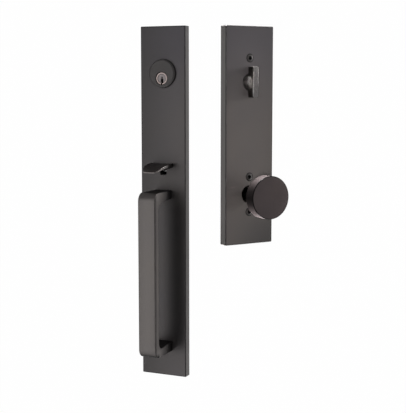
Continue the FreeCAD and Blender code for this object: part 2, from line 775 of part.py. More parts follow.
def make_bracket_screws():
    shape = small_screw("bracket_screw_model", sheet_steel + small_grip)
    depth = sheet_steel - wall_back
    shapes = [copied(shape, across, depth, up) for across, up in bracket_places()]
    return group("bracket_screws", shapes)


# Cross-sections of the thumb pad from its rear to its lip: share of the length, share of the
# half width, drop of the edges below the rear top, dish, side height, depth below the edges
pad_sections = [
    (0.0, 1.0, 0.0, 0.9, 4.2, 7.4),
    (0.26, 1.0, 0.7, 1.9, 3.8, 7.0),
    (0.53, 0.97, 2.4, 2.2, 3.0, 5.9),
    (0.76, 0.86, 5.3, 1.9, 2.3, 4.6),
    (0.92, 0.68, 8.4, 1.0, 1.6, 2.8),
    (1.0, 0.52, 10.0, 0.3, 1.1, 1.5)]


def pad_section(body, along, share, drop, dish, side, depth):
    sketch = sketch_on(body, CROSS, plate_depth + pad_gap + pad_length * along)
    half = pad_half * share
    foot = half * 0.78
    edge_up = pad_top - drop
    radius = (half * half + dish * dish) / (2 * dish)
    middle = float(edge_up) - dish + float(radius)
    lean = math.asin(float(half) / float(radius))
    bowl = Part.Circle(Vector(0, middle, 0), Vector(0, 0, 1), float(radius))
    arc = Part.ArcOfCircle(bowl, -math.pi / 2 - lean, -math.pi / 2 + lean)
    corners = [
        (half, edge_up), (half, edge_up - side), (foot, edge_up - depth),
        (-foot, edge_up - depth), (-half, edge_up - side), (-half, edge_up)]
    sketch.addGeometry(arc, False)
    spots = [Vector(float(across), float(up), 0) for across, up in corners]
    for index in range(len(spots) - 1):
        sketch.addGeometry(Part.LineSegment(spots[index], spots[index + 1]), False)
    last = len(spots) - 1
    sketch.addConstraint(Sketcher.Constraint("Coincident", 0, 2, 1, 1))
    for index in range(1, last):
        sketch.addConstraint(Sketcher.Constraint("Coincident", index, 2, index + 1, 1))
    sketch.addConstraint(Sketcher.Constraint("Coincident", last, 2, 0, 1))
    for index in range(last):
        hold_point(sketch, index + 1, 1, corners[index])
    hold_point(sketch, last, 2, corners[last])
    number = sketch.addConstraint(Sketcher.Constraint("Radius", 0, float(radius)))
    sketch.setExpression(f"Constraints[{number}]", radius.text)
    return sketch


def make_thumbpiece():
    body = new_body("thumbpiece")
    sections = [pad_section(body, *row) for row in pad_sections]
    doc.recompute()
    loft = body.newObject("PartDesign::AdditiveLoft", "thumb_pad")
    loft.Profile = sections[0]
    loft.Sections = sections[1:]
    finished(body, loft, True)
    rear = plate_depth + pad_gap
    soften(body, pad_round, lambda edge: lies(edge, "y", -rear))
    # Neck, eye and lift tail are one web behind the pad
    web = sketch_on(body, SIDE)
    eye_y = -pivot_back
    bend = tail_reach / 2
    tip = tail_up + tail_tip
    outline(web, [
        (-(rear + neck_reach), pad_top - neck_top),
        (-(rear + neck_reach - neck_slant), pad_top - neck_top - neck_slant),
        (-(rear + neck_slant), pivot_up - neck_drop), (eye_y, pivot_up - eye_radius),
        (eye_y + tail_root, pivot_up - eye_radius - 0.4), (bend, tail_up + 1.4),
        (tail_reach - 1.5, tail_up), (tail_reach, tail_up + 1), (tail_reach, tip),
        (bend, tip + tail_rise), (eye_y + tail_root + neck_slant, pivot_up + 1.4),
        (eye_y, pivot_up + eye_radius), (-(rear + 2 * neck_slant), pivot_up + eye_radius)])
    pad(body, web, neck_width, both_ways=True)
    eye = sketch_on(body, SIDE)
    circle(eye, eye_y, pivot_up, pivot_radius + pivot_fit)
    pocket(body, eye, None, both_ways=True)
    return body


def make_pivot_pin():
    body = new_body("pivot_pin")
    end = ear_inner + sheet_steel
    turned(body, [
        (-(end + 1.1), 0), (-(end + 1.1), pivot_radius + 0.9), (-end, pivot_radius + 0.9),
        (-end, pivot_radius), (end + 0.8, pivot_radius), (end + 1.2, pivot_radius - 0.4),
        (end + 1.2, 0)], axis="H_Axis")
    seat(body, depth=-pivot_back, up=pivot_up)
    return body


def make_thumb_bracket():
    body = new_body("thumb_bracket")
    foot = sketch_on(body, CROSS, wall_back - sheet_steel)
    gap = neck_width / 2 + 1.2
    outline(foot, [
        (-bracket_half, -bracket_low), (bracket_half, -bracket_low),
        (bracket_half, bracket_high), (gap, bracket_high), (gap, slot_low), (-gap, slot_low),
        (-gap, bracket_high), (-bracket_half, bracket_high)])
    pad(body, foot, sheet_steel)
    ears = sketch_on(body, SIDE)
    outline(ears, [
        (-(wall_back - sheet_steel), ear_low), (ear_back - 2, ear_low), (ear_back, ear_low + 2),
        (ear_back, bracket_high - 2), (ear_back - 2, bracket_high),
        (-(wall_back - sheet_steel), bracket_high)])
    pad(body, ears, 2 * (ear_inner + sheet_steel), both_ways=True)
    # A low web joins the ears behind the lift tail and stops it
    room = wall_back - sheet_steel + ear_back - sheet_steel
    between = sketch_on(body, CROSS, wall_back - sheet_steel)
    rectangle(between, -ear_inner, -bracket_low, ear_inner, bracket_high + 1)
    pocket(body, between, room, towards_normal=False)
    above = sketch_on(body, CROSS, wall_back - sheet_steel)
    rectangle(above, -ear_inner, stop_high, ear_inner, bracket_high + 1)
    pocket(body, above, None, towards_normal=False)
    holes = sketch_on(body, SIDE)
    circle(holes, -pivot_back, pivot_up, pivot_radius + 0.02)
    pocket(body, holes, None, both_ways=True)
    feet = sketch_on(body, CROSS)
    for across, up in bracket_places():
        circle(feet, across, up, small_shank + screw_play)
    pocket(body, feet)
    return body


def make_thumb_spring():
    wire = float(coil_wire)
    turns = 2.25
    room = float(ear_inner) - float(neck_width) / 2
    pitch = (room - wire - 0.5) / turns
    shape = coil(float(coil_radius), wire, pitch, turns, 12, float(coil_leg))
    shape.rotate(Vector(), Vector(0, 1, 0), 90)
    shape.rotate(Vector(), Vector(1, 0, 0), 200)
    start = neck_width / 2 + wire / 2 + 0.25
    return group("thumb_spring", [copied(shape, start, -pivot_back, pivot_up)])


def make_grip_handle():
    body = new_body("grip_handle")
    side = sketch_on(body, SIDE)
    front = -(plate_depth + grip_reach)
    inside = -(plate_depth + grip_reach - grip_bar)
    top = -grip_top
    bottom = -grip_bottom
    upper = top - arm_top
    lower = bottom + arm_bottom
    outline(side, [
        (-plate_depth, top), (front, top), (front, bottom), (-plate_depth, bottom),
        (-plate_depth, lower), (inside, lower - arm_slope), (inside, upper - arm_slope),
        (-plate_depth, upper)])
    pad(body, side, grip_width, both_ways=True)
    soften(body, bend_outside, lambda edge: any(
        passes(edge, y=front, z=level) for level in (top, bottom)))
    soften(body, bend_inside, lambda edge: any(
        passes(edge, y=inside, z=level) for level in (lower - arm_slope, upper - arm_slope)))
    half = float(grip_width) / 2
    soften(body, grip_round, lambda edge: (
        (lies(edge, "x", half) or lies(edge, "x", -half)) and not lies(edge, "y", -plate_depth)))
    holes = sketch_on(body, CROSS, plate_depth)
    for across, up in grip_screw_places():
        circle(holes, across, up, grip_shank + 0.05)
    pocket(body, holes, grip_screw_grow + 1.5)
    return body


def make_grip_screws():
    body = new_body("grip_screw_model")
    length = front_wall + grip_screw_grow
    turned(body, [
        (0, -length), (grip_shank, -length), (grip_shank, 0), (grip_head, 0),
        (grip_head, grip_head_height), (0, grip_head_height)])
    recess = sketch_on(body, CROSS, -grip_head_height)
    hexagon(recess, hex_socket / math.sqrt(3))
    pocket(body, recess, socket_depth)
    shapes = [copied(body.Shape, across, -wall_back, up) for across, up in grip_screw_places()]
    return group("grip_screws", shapes)


def make_through_posts():
    body = new_body("through_post_model")
    column = sketch_on(body, CROSS, -post_back)
    hexagon(column, post_radius)
    pad(body, column, wall_back + post_back)
    spigot = sketch_on(body, CROSS, wall_back)
    circle(spigot, 0, 0, spigot_radius)
    pad(body, spigot, spigot_depth)
    end = post_back - post_bore_depth
    turned(body, [
        (0, post_back), (post_bore, post_back), (post_bore, end), (0, end - drill_point)], cut=True)
    return group("through_posts", [copied(body.Shape, 0, 0, up) for up in post_places()])


def make_interior_plate():
    body = plate("interior_plate", inner_top, inner_bottom)
    bosses = sketch_on(body, CROSS, case_front)
    for across in (-case_screw_x, case_screw_x):
        circle(bosses, across, 0, boss_radius)
    pad(body, bosses, bushing_depth)
    openings = sketch_on(body, CROSS)
    circle(openings, 0, 0, knob_hole)
    circle(openings, 0, bolt_spacing, stem_radius + stem_fit)
    for up in post_places():
        circle(openings, 0, up, screw_hole)
    pocket(body, openings)
    tapped = sketch_on(body, CROSS, case_front)
    for across in (-case_screw_x, case_screw_x):
        circle(tapped, across, 0, small_hole)
    pocket(body, tapped, bushing_depth + small_grip + tap_play)
    soften(body, screw_head + 0.05 - screw_hole, is_screw_mouth, "Chamfer")
    seat(body, inside=True)
    return body


def is_screw_mouth(edge):
    if not lies(edge, "y", -plate_depth) or not hasattr(edge.Curve, "Radius"):
        return False
    return abs(edge.Curve.Radius - float(screw_hole)) < NEAR


# Countersunk screw from the front: its rim is level with the plate's front at y = 0
def make_plate_screws():
    body = new_body("plate_screw_model")
    cone = screw_head - screw_shank
    tip = plate_depth + screw_reach
    turned(body, [
        (0, -screw_crown), (screw_head * 0.55, -(screw_crown * 0.75)), (screw_head, 0.0),
        (screw_shank, cone), (screw_shank, tip - point_long), (screw_shank - point_taper, tip),
        (0, tip)])
    cross_recess(body, screw_crown, screw_head * 0.52, recess_deep, False)
    shapes = [copied(body.Shape, 0, -plate_depth, up) for up in post_places()]
    return group("plate_screws", shapes, inside=True)


def make_thumbturn():
    body = new_body("thumbturn")
    front = plate_depth + turn_reach
    paddle = sketch_on(body, CROSS, plate_depth + turn_clear)
    half = turn_width / 2
    tall = turn_height / 2
    rectangle(paddle, -half, -tall, half, tall)
    pad(body, paddle, turn_reach - turn_clear)
    soften(body, turn_round, lambda edge: not edge.Degenerated)
    seat_y = plate_depth + collar_depth + easy
    groove = wall_back - washer_depth - slim
    inner = stem_radius - clip_bite
    depth = clip_depth + 2 * slim
    turned(body, [
        (0, -(front - 4)), (cone_tip * 0.6, -(front - 4)), (cone_tip, -(plate_depth + cone_reach)),
        (cone_radius, -(seat_y + 0.8)), (cone_radius, -seat_y), (stem_radius, -seat_y),
        (stem_radius, -groove), (inner, -groove), (inner, depth - groove),
        (stem_radius, depth - groove), (stem_radius, stem_back), (0, stem_back)])
    slot = sketch_on(body, CROSS, -stem_back)
    thin = tail_thick / 2 + 0.3
    wide = tail_width / 2 + 0.3
    rectangle(slot, -thin, -wide, thin, wide)
    pocket(body, slot, stem_back + 1)
    seat(body, up=bolt_spacing, inside=True)
    return body


def ring(name, inner, outer, front, depth, gap=None):
    body = new_body(name)
    face = sketch_on(body, CROSS, front - depth)
    circle(face, 0, 0, outer)
    circle(face, 0, 0, inner)
    pad(body, face, depth)
    if gap is not None:
        opening = sketch_on(body, CROSS, front)
        rectangle(opening, -gap, -(outer + 1), gap, 0)
        pocket(body, opening, None, towards_normal=False)
    return body


def make_turn_collar():
    body = new_body("turn_collar")
    inner = stem_radius + 0.3
    front = -(plate_depth + collar_depth)
    turned(body, [
        (inner, front), *eased(collar_radius, front, collar_round), (collar_radius, -plate_depth),
        (inner, -plate_depth)])
    seat(body, up=bolt_spacing, inside=True)
    return body


def make_turn_washer():
    body = ring("turn_washer", stem_radius + 0.2, stem_radius + 4, wall_back, washer_depth)
    seat(body, up=bolt_spacing, inside=True)
    return body


def make_turn_clip():
    inner = stem_radius - clip_bite + slim
    front = wall_back - washer_depth - 2 * slim
    body = ring("turn_clip", inner, stem_radius + clip_rim, front, clip_depth, inner * 0.8)
    seat(body, up=bolt_spacing, inside=True)
    return body


def make_knob():
    body = new_body("knob")
    groove = case_front - 0.25
    inner = neck_radius - clip_bite
    depth = clip_depth + 2 * slim
    turned(body, [
        (0, -knob_front), *eased(knob_radius, -knob_front, knob_round, steps=3),
        *eased(knob_radius, -knob_back, knob_back_round, rear=True, steps=3),
        (neck_flare, -knob_back), (neck_radius, flare_length - knob_back),
        (neck_radius, -groove), (inner, -groove), (inner, depth - groove),
        (neck_radius, depth - groove), (neck_radius, -neck_end), (0, -neck_end)])
    socket = sketch_on(body, CROSS, neck_end)
    half = spindle_side / 2 + spindle_fit
    rectangle(socket, -half, -half, half, half)
    pocket(body, socket, spindle_front - neck_end + 0.5)
    # Tapped hole for the set screw, from below
    tapped = sketch_on(body, LEVEL, -neck_radius - 1)
    circle(tapped, 0, -set_place, set_radius + seat_gap)
    pocket(body, tapped, neck_radius + 1 - spindle_side / 2)
    seat(body, inside=True)
    return body


def make_knob_bushing():
    body = new_body("knob_bushing")
    bore = neck_radius + neck_fit
    nose = plate_depth - ring_sunk
    turned(body, [
        (bore, -nose), (nose_radius, -nose), (nose_radius, -wall_back),
        (bushing_flange, -wall_back), (bushing_flange, -case_front), (bore, -case_front)])
    seat(body, inside=True)
    return body


def make_knob_ring():
    inner = neck_radius - clip_bite + slim
    front = case_front - 0.25 - slim
    body = ring("knob_ring", inner, neck_radius + clip_rim, front, clip_depth, inner * 0.8)
    seat(body, inside=True)
    return body


def make_set_screw():
    body = new_body("set_screw")
    sunk = 0.4
    length = neck_radius - spindle_side / 2 - sunk
    low = -(neck_radius - sunk)
    face = sketch_on(body, LEVEL, low)
    circle(face, 0, -set_place, set_radius)
    pad(body, face, length)
    recess = sketch_on(body, LEVEL, low)
    half = hex_socket * 0.4
    rectangle(recess, -half, -set_place - half, half, half - set_place)
    pocket(body, recess, length * 0.6)
    seat(body, inside=True)
    return body


def make_spindle():
    body = new_body("spindle")
    face = sketch_on(body, CROSS, -spindle_back)
    half = spindle_side / 2
    rectangle(face, -half, -half, half, half)
    pad(body, face, spindle_front + spindle_back)
    soften(body, 0.6, lambda edge: lies(edge, "y", -spindle_front) or lies(edge, "y", spindle_back),
           "Chamfer")
    seat(body, inside=True)
    return body


def make_spring_case():
    body = new_body("spring_case")
    outer = bushing_flange
    turned(body, [
        (outer - case_wall, -case_front), (outer, -case_front), (outer, case_back),
        (case_hole, case_back), (case_hole, case_back - 1.2), (outer - case_wall, case_back - 1.2)])
    ears = sketch_on(body, CROSS, case_front - sheet_steel)
    for direction in (-1, 1):
        near = direction * (outer - case_wall * 0.5)
        far = direction * (case_screw_x + case_ear)
        rectangle(ears, near, -case_ear, far, case_ear)
    pad(body, ears, sheet_steel)
    holes = sketch_on(body, CROSS, case_front)
    for across in (-case_screw_x, case_screw_x):
        circle(holes, across, 0, small_shank + screw_play)
    pocket(body, holes, sheet_steel, towards_normal=False)
    notch = sketch_on(body, CROSS, case_front)
    rectangle(notch, -2, -(outer + 1), 2, -(outer - case_wall * 2))
    pocket(body, notch, case_front + case_back - 2, towards_normal=False)
    seat(body, inside=True)
    return body


def make_case_screws():
    shape = small_screw("case_screw_model", sheet_steel + bushing_depth + small_grip)
    depth = sheet_steel - case_front
    shapes = []
    for across in (-case_screw_x, case_screw_x):
        shapes.append(copied(shape, across, depth, 0))
    return group("case_screws", shapes, inside=True)


def make_driver_hub():
    body = new_body("driver_hub")
    turned(body, [(0, -hub_front), (hub_radius, -hub_front), (hub_radius, hub_back), (0, hub_back)])
    lug = sketch_on(body, CROSS, hub_front - lug_depth)
    rectangle(lug, -lug_half, hub_radius * 0.8, lug_half, lug_reach)
    pad(body, lug, lug_depth)
    square = sketch_on(body, CROSS)
    half = spindle_side / 2 + spindle_fit
    rectangle(square, -half, -half, half, half)
    pocket(body, square, None, both_ways=True)
    seat(body, inside=True)
    return body


def make_knob_spring():
    wire = float(spring_wire)
    turns = 2.25
    shape = coil(float(spring_radius), wire, float(spring_pitch), turns, 16, float(spring_leg))
    shape.rotate(Vector(), Vector(1, 0, 0), -90)
    front = -hub_front + lug_depth + wire / 2 + 0.15
    return group("knob_spring", [copied(shape, 0, front, 0)], inside=True)


makers = [
    make_exterior_plate, make_cylinder_housing, make_chamber_cover, make_cylinder_plug,
    make_key_pins, make_driver_pins, make_pin_springs, make_plug_cap, make_tailpiece,
    make_cylinder_retainer, make_retainer_screws, make_thumbpiece, make_pivot_pin,
    make_thumb_bracket, make_bracket_screws, make_thumb_spring, make_grip_handle,
    make_grip_screws, make_through_posts, make_interior_plate, make_plate_screws,
    make_thumbturn, make_turn_collar, make_turn_washer, make_turn_clip, make_knob,
    make_knob_bushing, make_knob_ring, make_set_screw, make_spindle, make_spring_case,
    make_case_screws, make_driver_hub, make_knob_spring]

pieces = [make() for make in makers]
doc.recompute()

faults = []
for item in doc.Objects:
    if "Invalid" in item.State or "Error" in item.State:
        faults.append(item.Name)
for piece in pieces:
    if piece.Shape.isNull() or not piece.Shape.isValid() or not piece.Shape.Solids:
        faults.append(piece.Label)
if faults:
    raise RuntimeError("faulty: " + ", ".join(faults))

for piece in pieces:
    piece.Shape.exportStep(f"parts/{piece.Label}.step")
    print(piece.Label, len(piece.Shape.Solids), round(piece.Shape.Volume, 1))
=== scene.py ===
import bmesh
import bpy
import math
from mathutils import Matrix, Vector


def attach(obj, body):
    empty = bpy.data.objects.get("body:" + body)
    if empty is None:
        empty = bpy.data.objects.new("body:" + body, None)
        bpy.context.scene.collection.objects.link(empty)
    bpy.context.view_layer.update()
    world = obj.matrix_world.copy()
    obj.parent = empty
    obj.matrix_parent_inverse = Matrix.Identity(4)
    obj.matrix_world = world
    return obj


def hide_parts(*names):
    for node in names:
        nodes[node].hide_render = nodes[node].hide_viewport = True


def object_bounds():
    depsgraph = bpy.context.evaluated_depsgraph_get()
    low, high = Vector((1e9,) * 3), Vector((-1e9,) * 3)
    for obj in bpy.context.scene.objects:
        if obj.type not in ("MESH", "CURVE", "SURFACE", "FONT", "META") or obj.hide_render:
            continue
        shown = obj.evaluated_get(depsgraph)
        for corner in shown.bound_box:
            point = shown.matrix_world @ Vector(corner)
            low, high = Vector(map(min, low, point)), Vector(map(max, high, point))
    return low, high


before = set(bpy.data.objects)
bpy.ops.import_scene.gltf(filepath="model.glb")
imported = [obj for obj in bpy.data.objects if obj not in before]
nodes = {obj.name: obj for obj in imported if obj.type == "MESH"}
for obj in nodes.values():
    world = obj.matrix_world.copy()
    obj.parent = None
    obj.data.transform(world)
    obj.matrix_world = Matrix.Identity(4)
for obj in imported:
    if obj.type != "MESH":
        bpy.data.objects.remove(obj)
cadBox = [list(corner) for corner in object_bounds()]
bpy.ops.object.select_all(action="DESELECT")
print("frame loaded:", len(nodes), "nodes")

# The interior half stands apart, turned about the vertical
innerHalf = {"place": (0.1665, -0.119, -0.006), "turn": math.radians(55)}
latchToBolt = 0.1397  # from the latch's axis up to the deadbolt's
headCentre = latchToBolt + 0.007  # height of the cylinder head's axis
screwPlaces = (-0.022, 0.022, latchToBolt + 0.0295)  # heights of the plate screws


# Camera

view = {
    "place": (0.6387, -1.3034, 0.1273),
    "across": (-0.4078, 0.9131),  # heading on the ground
    "pitch": math.radians(-6.71),
    "lens": 88.30,
    "sensor": 36.0,
    "near": 0.05,
    "far": 50.0,
}


def placeCamera():
    bpy.ops.object.camera_add(location=view["place"])
    camera = bpy.context.object
    camera.name = "photoCamera"
    flat = math.cos(view["pitch"])
    look = Vector((view["across"][0] * flat, view["across"][1] * flat, math.sin(view["pitch"])))
    camera.rotation_mode = "QUATERNION"
    camera.rotation_quaternion = look.to_track_quat("-Z", "Y")
    camera.data.lens = view["lens"]
    camera.data.sensor_width = view["sensor"]
    camera.data.sensor_fit = "AUTO"
    camera.data.clip_start = view["near"]
    camera.data.clip_end = view["far"]
    bpy.context.scene.camera = camera
    bpy.context.scene.view_settings.view_transform = "Standard"


placeCamera()


# Writing node trees

class Wire:
    # A socket that can be written in an expression; every node is added through node()
    def __init__(self, tree, socket=None):
        self.tree = tree
        self.socket = socket

    def node(self, kind, settings=None, sockets=None, out=0):
        made = self.tree.nodes.new(kind)
        for name, value in (settings or {}).items():
            setattr(made, name, value)
        for key, value in (sockets or {}).items():
            if isinstance(value, Wire):
                self.tree.links.new(value.socket, made.inputs[key])
            else:
                made.inputs[key].default_value = value
        return Wire(self.tree, made.outputs[out])

    def maths(self, operation, first, second=0.0):
        return self.node("ShaderNodeMath", {"operation": operation}, {0: first, 1: second})

    def __add__(self, other):
        return self.maths("ADD", self, other)

    def __radd__(self, other):
        return self.maths("ADD", other, self)

    def __sub__(self, other):
        return self.maths("SUBTRACT", self, other)

    def __rsub__(self, other):
        return self.maths("SUBTRACT", other, self)

    def __mul__(self, other):
        return self.maths("MULTIPLY", self, other)

    def __pow__(self, other):
        return self.maths("POWER", self, other)

    def size(self):
        return self.maths("ABSOLUTE", self)

    def over(self, other):
        return self.maths("MAXIMUM", self, other)

    def under(self, other):
        return self.maths("MINIMUM", self, other)

    def fade(self, low, high):
        # 0 below low, 1 above high, smooth between
        settings = {"interpolation_type": "SMOOTHSTEP"}
        return self.node("ShaderNodeMapRange", settings, {0: self, 1: low, 2: high, 3: 0.0, 4: 1.0})


def startMaterial(name):
    material = bpy.data.materials.new(name)
    material.use_nodes = True
    material.node_tree.nodes.clear()
    return material, Wire(material.node_tree)


def endMaterial(material, shader):
    output = material.node_tree.nodes.new("ShaderNodeOutputMaterial")
    material.node_tree.links.new(shader.socket, output.inputs["Surface"])
    return material


# Modelling helpers

samePlace = 0.00002
mergeWithin = 0.000005


def begin(name, add, **settings):
    # A new primitive, alone in the selection, with its place already in its mesh
    bpy.ops.object.select_all(action="DESELECT")
    add(**settings)
    item = bpy.context.object
    item.name = name
    bpy.ops.object.transform_apply(location=True, rotation=True, scale=True)
    return item


def block(name, low, high):
    middle = [(low[axis] + high[axis]) / 2 for axis in range(3)]
    span = [high[axis] - low[axis] for axis in range(3)]
    return begin(name, bpy.ops.mesh.primitive_cube_add, size=1, location=middle, scale=span)


def rod(name, radius, back, front, sides, up=0.0):
    # A round bar along Y, from back to front
    return begin(
        name, bpy.ops.mesh.primitive_cylinder_add, vertices=sides, radius=radius, depth=back - front,
        location=(0, (back + front) / 2, up), rotation=(math.pi / 2, 0, 0))


def reach(item):
    bpy.context.view_layer.objects.active = item
    item.select_set(True)
    bpy.ops.object.mode_set(mode="EDIT")
    return bmesh.from_edit_mesh(item.data)


def pickFaces(item, wanted):
    cage = reach(item)
    bpy.ops.mesh.select_mode(type="FACE")
    bpy.ops.mesh.select_all(action="DESELECT")
    for face in cage.faces:
        if wanted(face.calc_center_median(), face.normal):
            face.select_set(True)
    bmesh.update_edit_mesh(item.data)


def pickEdges(item, wanted):
    cage = reach(item)
    bpy.ops.mesh.select_mode(type="EDGE")
    bpy.ops.mesh.select_all(action="DESELECT")
    for edge in cage.edges:
        if wanted(edge.verts[0].co, edge.verts[1].co):
            edge.select_set(True)
    bmesh.update_edit_mesh(item.data)


def close(first, second):
    return abs(first - second) < samePlace


def push(depth=0.0, up=0.0):
    bpy.ops.mesh.extrude_region_move(TRANSFORM_OT_translate={"value": (0, depth, up)})


def growTurned(item, steps, up=0.0):
    # Carries a round bar's front cap on through (radius, depth) steps
    cage = reach(item)
    front = min(vertex.co.y for vertex in cage.verts)
    pickFaces(item, lambda middle, normal: normal.y < -0.9 and close(middle.y, front))
    first = next(vertex.co for vertex in cage.verts if close(vertex.co.y, front))
    radius = math.hypot(first.x, first.z - up)
    for nextRadius, depth in steps:
        push(depth=depth - front)
        share = nextRadius / radius
        bpy.ops.transform.resize(value=(share, 1, share), center_override=(0, depth, up))
        radius, front = nextRadius, depth


def rounded(radius, depth, amount, fromSide=True, steps=6):
    # Turned steps that round the corner at radius and depth: side to front, or back to side
    found = []
    for step in range(steps + 1):
        lean = math.pi / 2 * step / steps
        if fromSide:
            found.append((radius - amount * (1 - math.cos(lean)), depth + amount * (1 - math.sin(lean))))
        else:
            found.append((radius - amount * (1 - math.sin(lean)), depth - amount * (1 - math.cos(lean))))
    return found


def leaveEdit():
    bpy.ops.object.mode_set(mode="OBJECT")


def modify(item, kind, **settings):
    if item.mode == "EDIT":
        leaveEdit()
    bpy.ops.object.select_all(action="DESELECT")
    item.select_set(True)
    bpy.context.view_layer.objects.active = item
    modifier = item.modifiers.new(kind.lower(), kind)
    for name, value in settings.items():
        setattr(modifier, name, value)
    bpy.ops.object.modifier_apply(modifier=modifier.name)


def combine(item, tool, operation="DIFFERENCE"):
    modify(item, "BOOLEAN", object=tool, operation=operation, solver="EXACT")
    bpy.data.objects.remove(tool, do_unlink=True)


def finishPiece(item, look, body, replaced, inside=False, smooth=32):
    if item.mode == "EDIT":
        leaveEdit()
    bpy.ops.object.select_all(action="DESELECT")
    item.select_set(True)
    bpy.context.view_layer.objects.active = item
    bpy.ops.object.mode_set(mode="EDIT")
    bpy.ops.mesh.select_all(action="SELECT")
    bpy.ops.mesh.remove_doubles(threshold=mergeWithin)
    bpy.ops.mesh.normals_make_consistent(inside=False)
    bpy.ops.object.mode_set(mode="OBJECT")
    bpy.ops.object.shade_smooth_by_angle(angle=math.radians(smooth))
    if inside:
        item.rotation_euler = (0, 0, innerHalf["turn"])
        item.location = innerHalf["place"]
        bpy.ops.object.transform_apply(location=True, rotation=True, scale=True)
    dress(item, look)
    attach(item, body)
    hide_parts(*replaced)
    print("piece ready:", item.name, len(item.data.polygons), "faces")


# Sweep and lamps

sweepSizes = {
    "middle": 0.1, "drop": 0.62, "wide": 3.0, "ahead": 0.7, "rise": 2.6, "bend": 0.9,
    "bendSteps": 24, "tone": 0.85,
    "shadow": 0.01,  # share of the sheet's light that a shadow can take
}


def sweepLook():
    material, start = startMaterial("paleSweep")
    path = "ShaderNodeLightPath"
    seen = start.node(path, out="Is Camera Ray") + start.node(path, out="Is Glossy Ray")
    seen = (seen + start.node(path, out="Is Transmission Ray")).under(1.0 - sweepSizes["shadow"])
    paper = (sweepSizes["tone"],) * 3 + (1.0,)
    matte = start.node("ShaderNodeBsdfDiffuse", sockets={"Color": paper})
    white = start.node("ShaderNodeEmission", sockets={"Color": (1, 1, 1, 1), "Strength": 1.0})
    return endMaterial(material, start.node("ShaderNodeMixShader", sockets={0: seen, 1: matte, 2: white}))


def makeSweep():
    # One sheet for floor and wall, square to the camera's heading
    size = sweepSizes
    low = cadBox[0][2] - size["drop"]
    heading = Vector((*view["across"], 0.0)).normalized()
    middle = Vector((size["middle"], 0.0, low)) + heading * size["ahead"]
    sheet = begin(
        "studioSweep", bpy.ops.mesh.primitive_plane_add, size=size["wide"], location=middle,
        rotation=(0, 0, math.atan2(-heading.x, heading.y)))
    far = middle.dot(heading) + size["wide"] / 2
    pickEdges(sheet, lambda one, other: close(one.dot(heading), far) and close(other.dot(heading), far))
    push(up=size["rise"])
    pickEdges(sheet, lambda one, other: close(one.dot(heading), far) and close(other.dot(heading), far)
              and close(one.z, low) and close(other.z, low))
    bpy.ops.mesh.bevel(offset=size["bend"], segments=size["bendSteps"], affect="EDGES")
    leaveEdit()
    sheet.data.materials.append(sweepLook())


studio = {
    "room": 0.27,
    # name: place, aim, width, height, watts, spread in degrees
    "lamps": {
        "frontLamp": ((-0.55, -1.25, -0.15), (0.0, 0.0, -0.05), 0.9, 0.9, 3.6, 180),
        "highLamp": ((-0.55, -1.15, 0.45), (0.0, 0.0, 0.0), 0.5, 0.5, 1.0, 180),
        "lowLamp": ((-0.5, -1.05, -0.75), (0.0, 0.0, -0.1), 0.5, 0.5, 1.2, 180),
        "rightLamp": ((1.6, -0.2, -0.1), (0.15, -0.1, 0.0), 0.9, 0.9, 0.9, 180),
        "rightHighLamp": ((1.45, -0.15, 0.6), (0.15, -0.1, 0.0), 0.5, 0.5, 1.0, 180),
        "sideLamp": ((1.3, 0.65, -0.5), (0.05, 0.0, -0.05), 0.5, 0.5, 5.6, 180),
        "sideHighLamp": ((1.3, 0.75, 0.4), (0.05, 0.0, 0.12), 0.4, 0.4, 11.0, 180),
        "innerLamp": ((0.41, -0.88, 0.07), (0.17, -0.12, 0.07), 0.05, 0.3, 0.09, 10),
        "aboveLamp": ((0.125, -0.11, 0.7), (0.2, -0.145, 0.02), 0.08, 0.08, 0.9, 20),
        "belowLamp": ((0.11, -0.1, -0.75), (0.2, -0.145, -0.03), 0.08, 0.08, 0.92, 20),
    },
}


def lightStudio():
    world = bpy.data.worlds.new("studioWorld")
    world.use_nodes = True
    world.node_tree.nodes.clear()
    start = Wire(world.node_tree)
    room = start.node("ShaderNodeBackground", sockets={"Color": (1, 1, 1, 1), "Strength": studio["room"]})
    output = world.node_tree.nodes.new("ShaderNodeOutputWorld")
    world.node_tree.links.new(room.socket, output.inputs["Surface"])
    bpy.context.scene.world = world
    for name, (place, aim, width, height, watts, spreadAngle) in studio["lamps"].items():
        bpy.ops.object.light_add(type="AREA", location=place)
        lamp = bpy.context.object
        lamp.name = name
        lamp.data.shape = "RECTANGLE"
        lamp.data.size = width
        lamp.data.size_y = height
        lamp.data.energy = watts
        lamp.data.spread = math.radians(spreadAngle)
        lamp.visible_camera = False
        lamp.rotation_mode = "QUATERNION"
        lamp.rotation_quaternion = (Vector(aim) - Vector(place)).to_track_quat("-Z", "Y")


makeSweep()
lightStudio()
print("camera, sweep and lamps ready:", len(studio["lamps"]), "lamps")


# Materials

def objectPlace(start, inside=False):
    place = start.node("ShaderNodeTexCoord", out="Object")
    if not inside:
        return place
    settings = {"vector_type": "TEXTURE"}
    sockets = {"Vector": place, "Location": innerHalf["place"], "Rotation": (0.0, 0.0, innerHalf["turn"])}
    return start.node("ShaderNodeMapping", settings, sockets)


def spread(place, axes):
    # The wanted coordinates of a point, such as "XZ"
    return [place.node("ShaderNodeSeparateXYZ", sockets={0: place}, out=axis) for axis in axes]


def axisDistance(place, centreUp=0.0):
    # How far a point is from an axis along Y
    across, up = spread(place, "XZ")
    rise = up - centreUp
    return (across * across + rise * rise) ** 0.5


def grain(place, scale, rough, detail):
    sockets = {"Vector": place, "Scale": scale, "Detail": detail, "Roughness": rough}
    return place.node("ShaderNodeTexNoise", sockets=sockets)


def tone(start, factor, dark, light):
    settings = {"data_type": "RGBA", "clamp_factor": True}
    sockets = {0: factor, 6: (*dark, 1.0), 7: (*light, 1.0)}
    return start.node("ShaderNodeMix", settings, sockets, out=2)


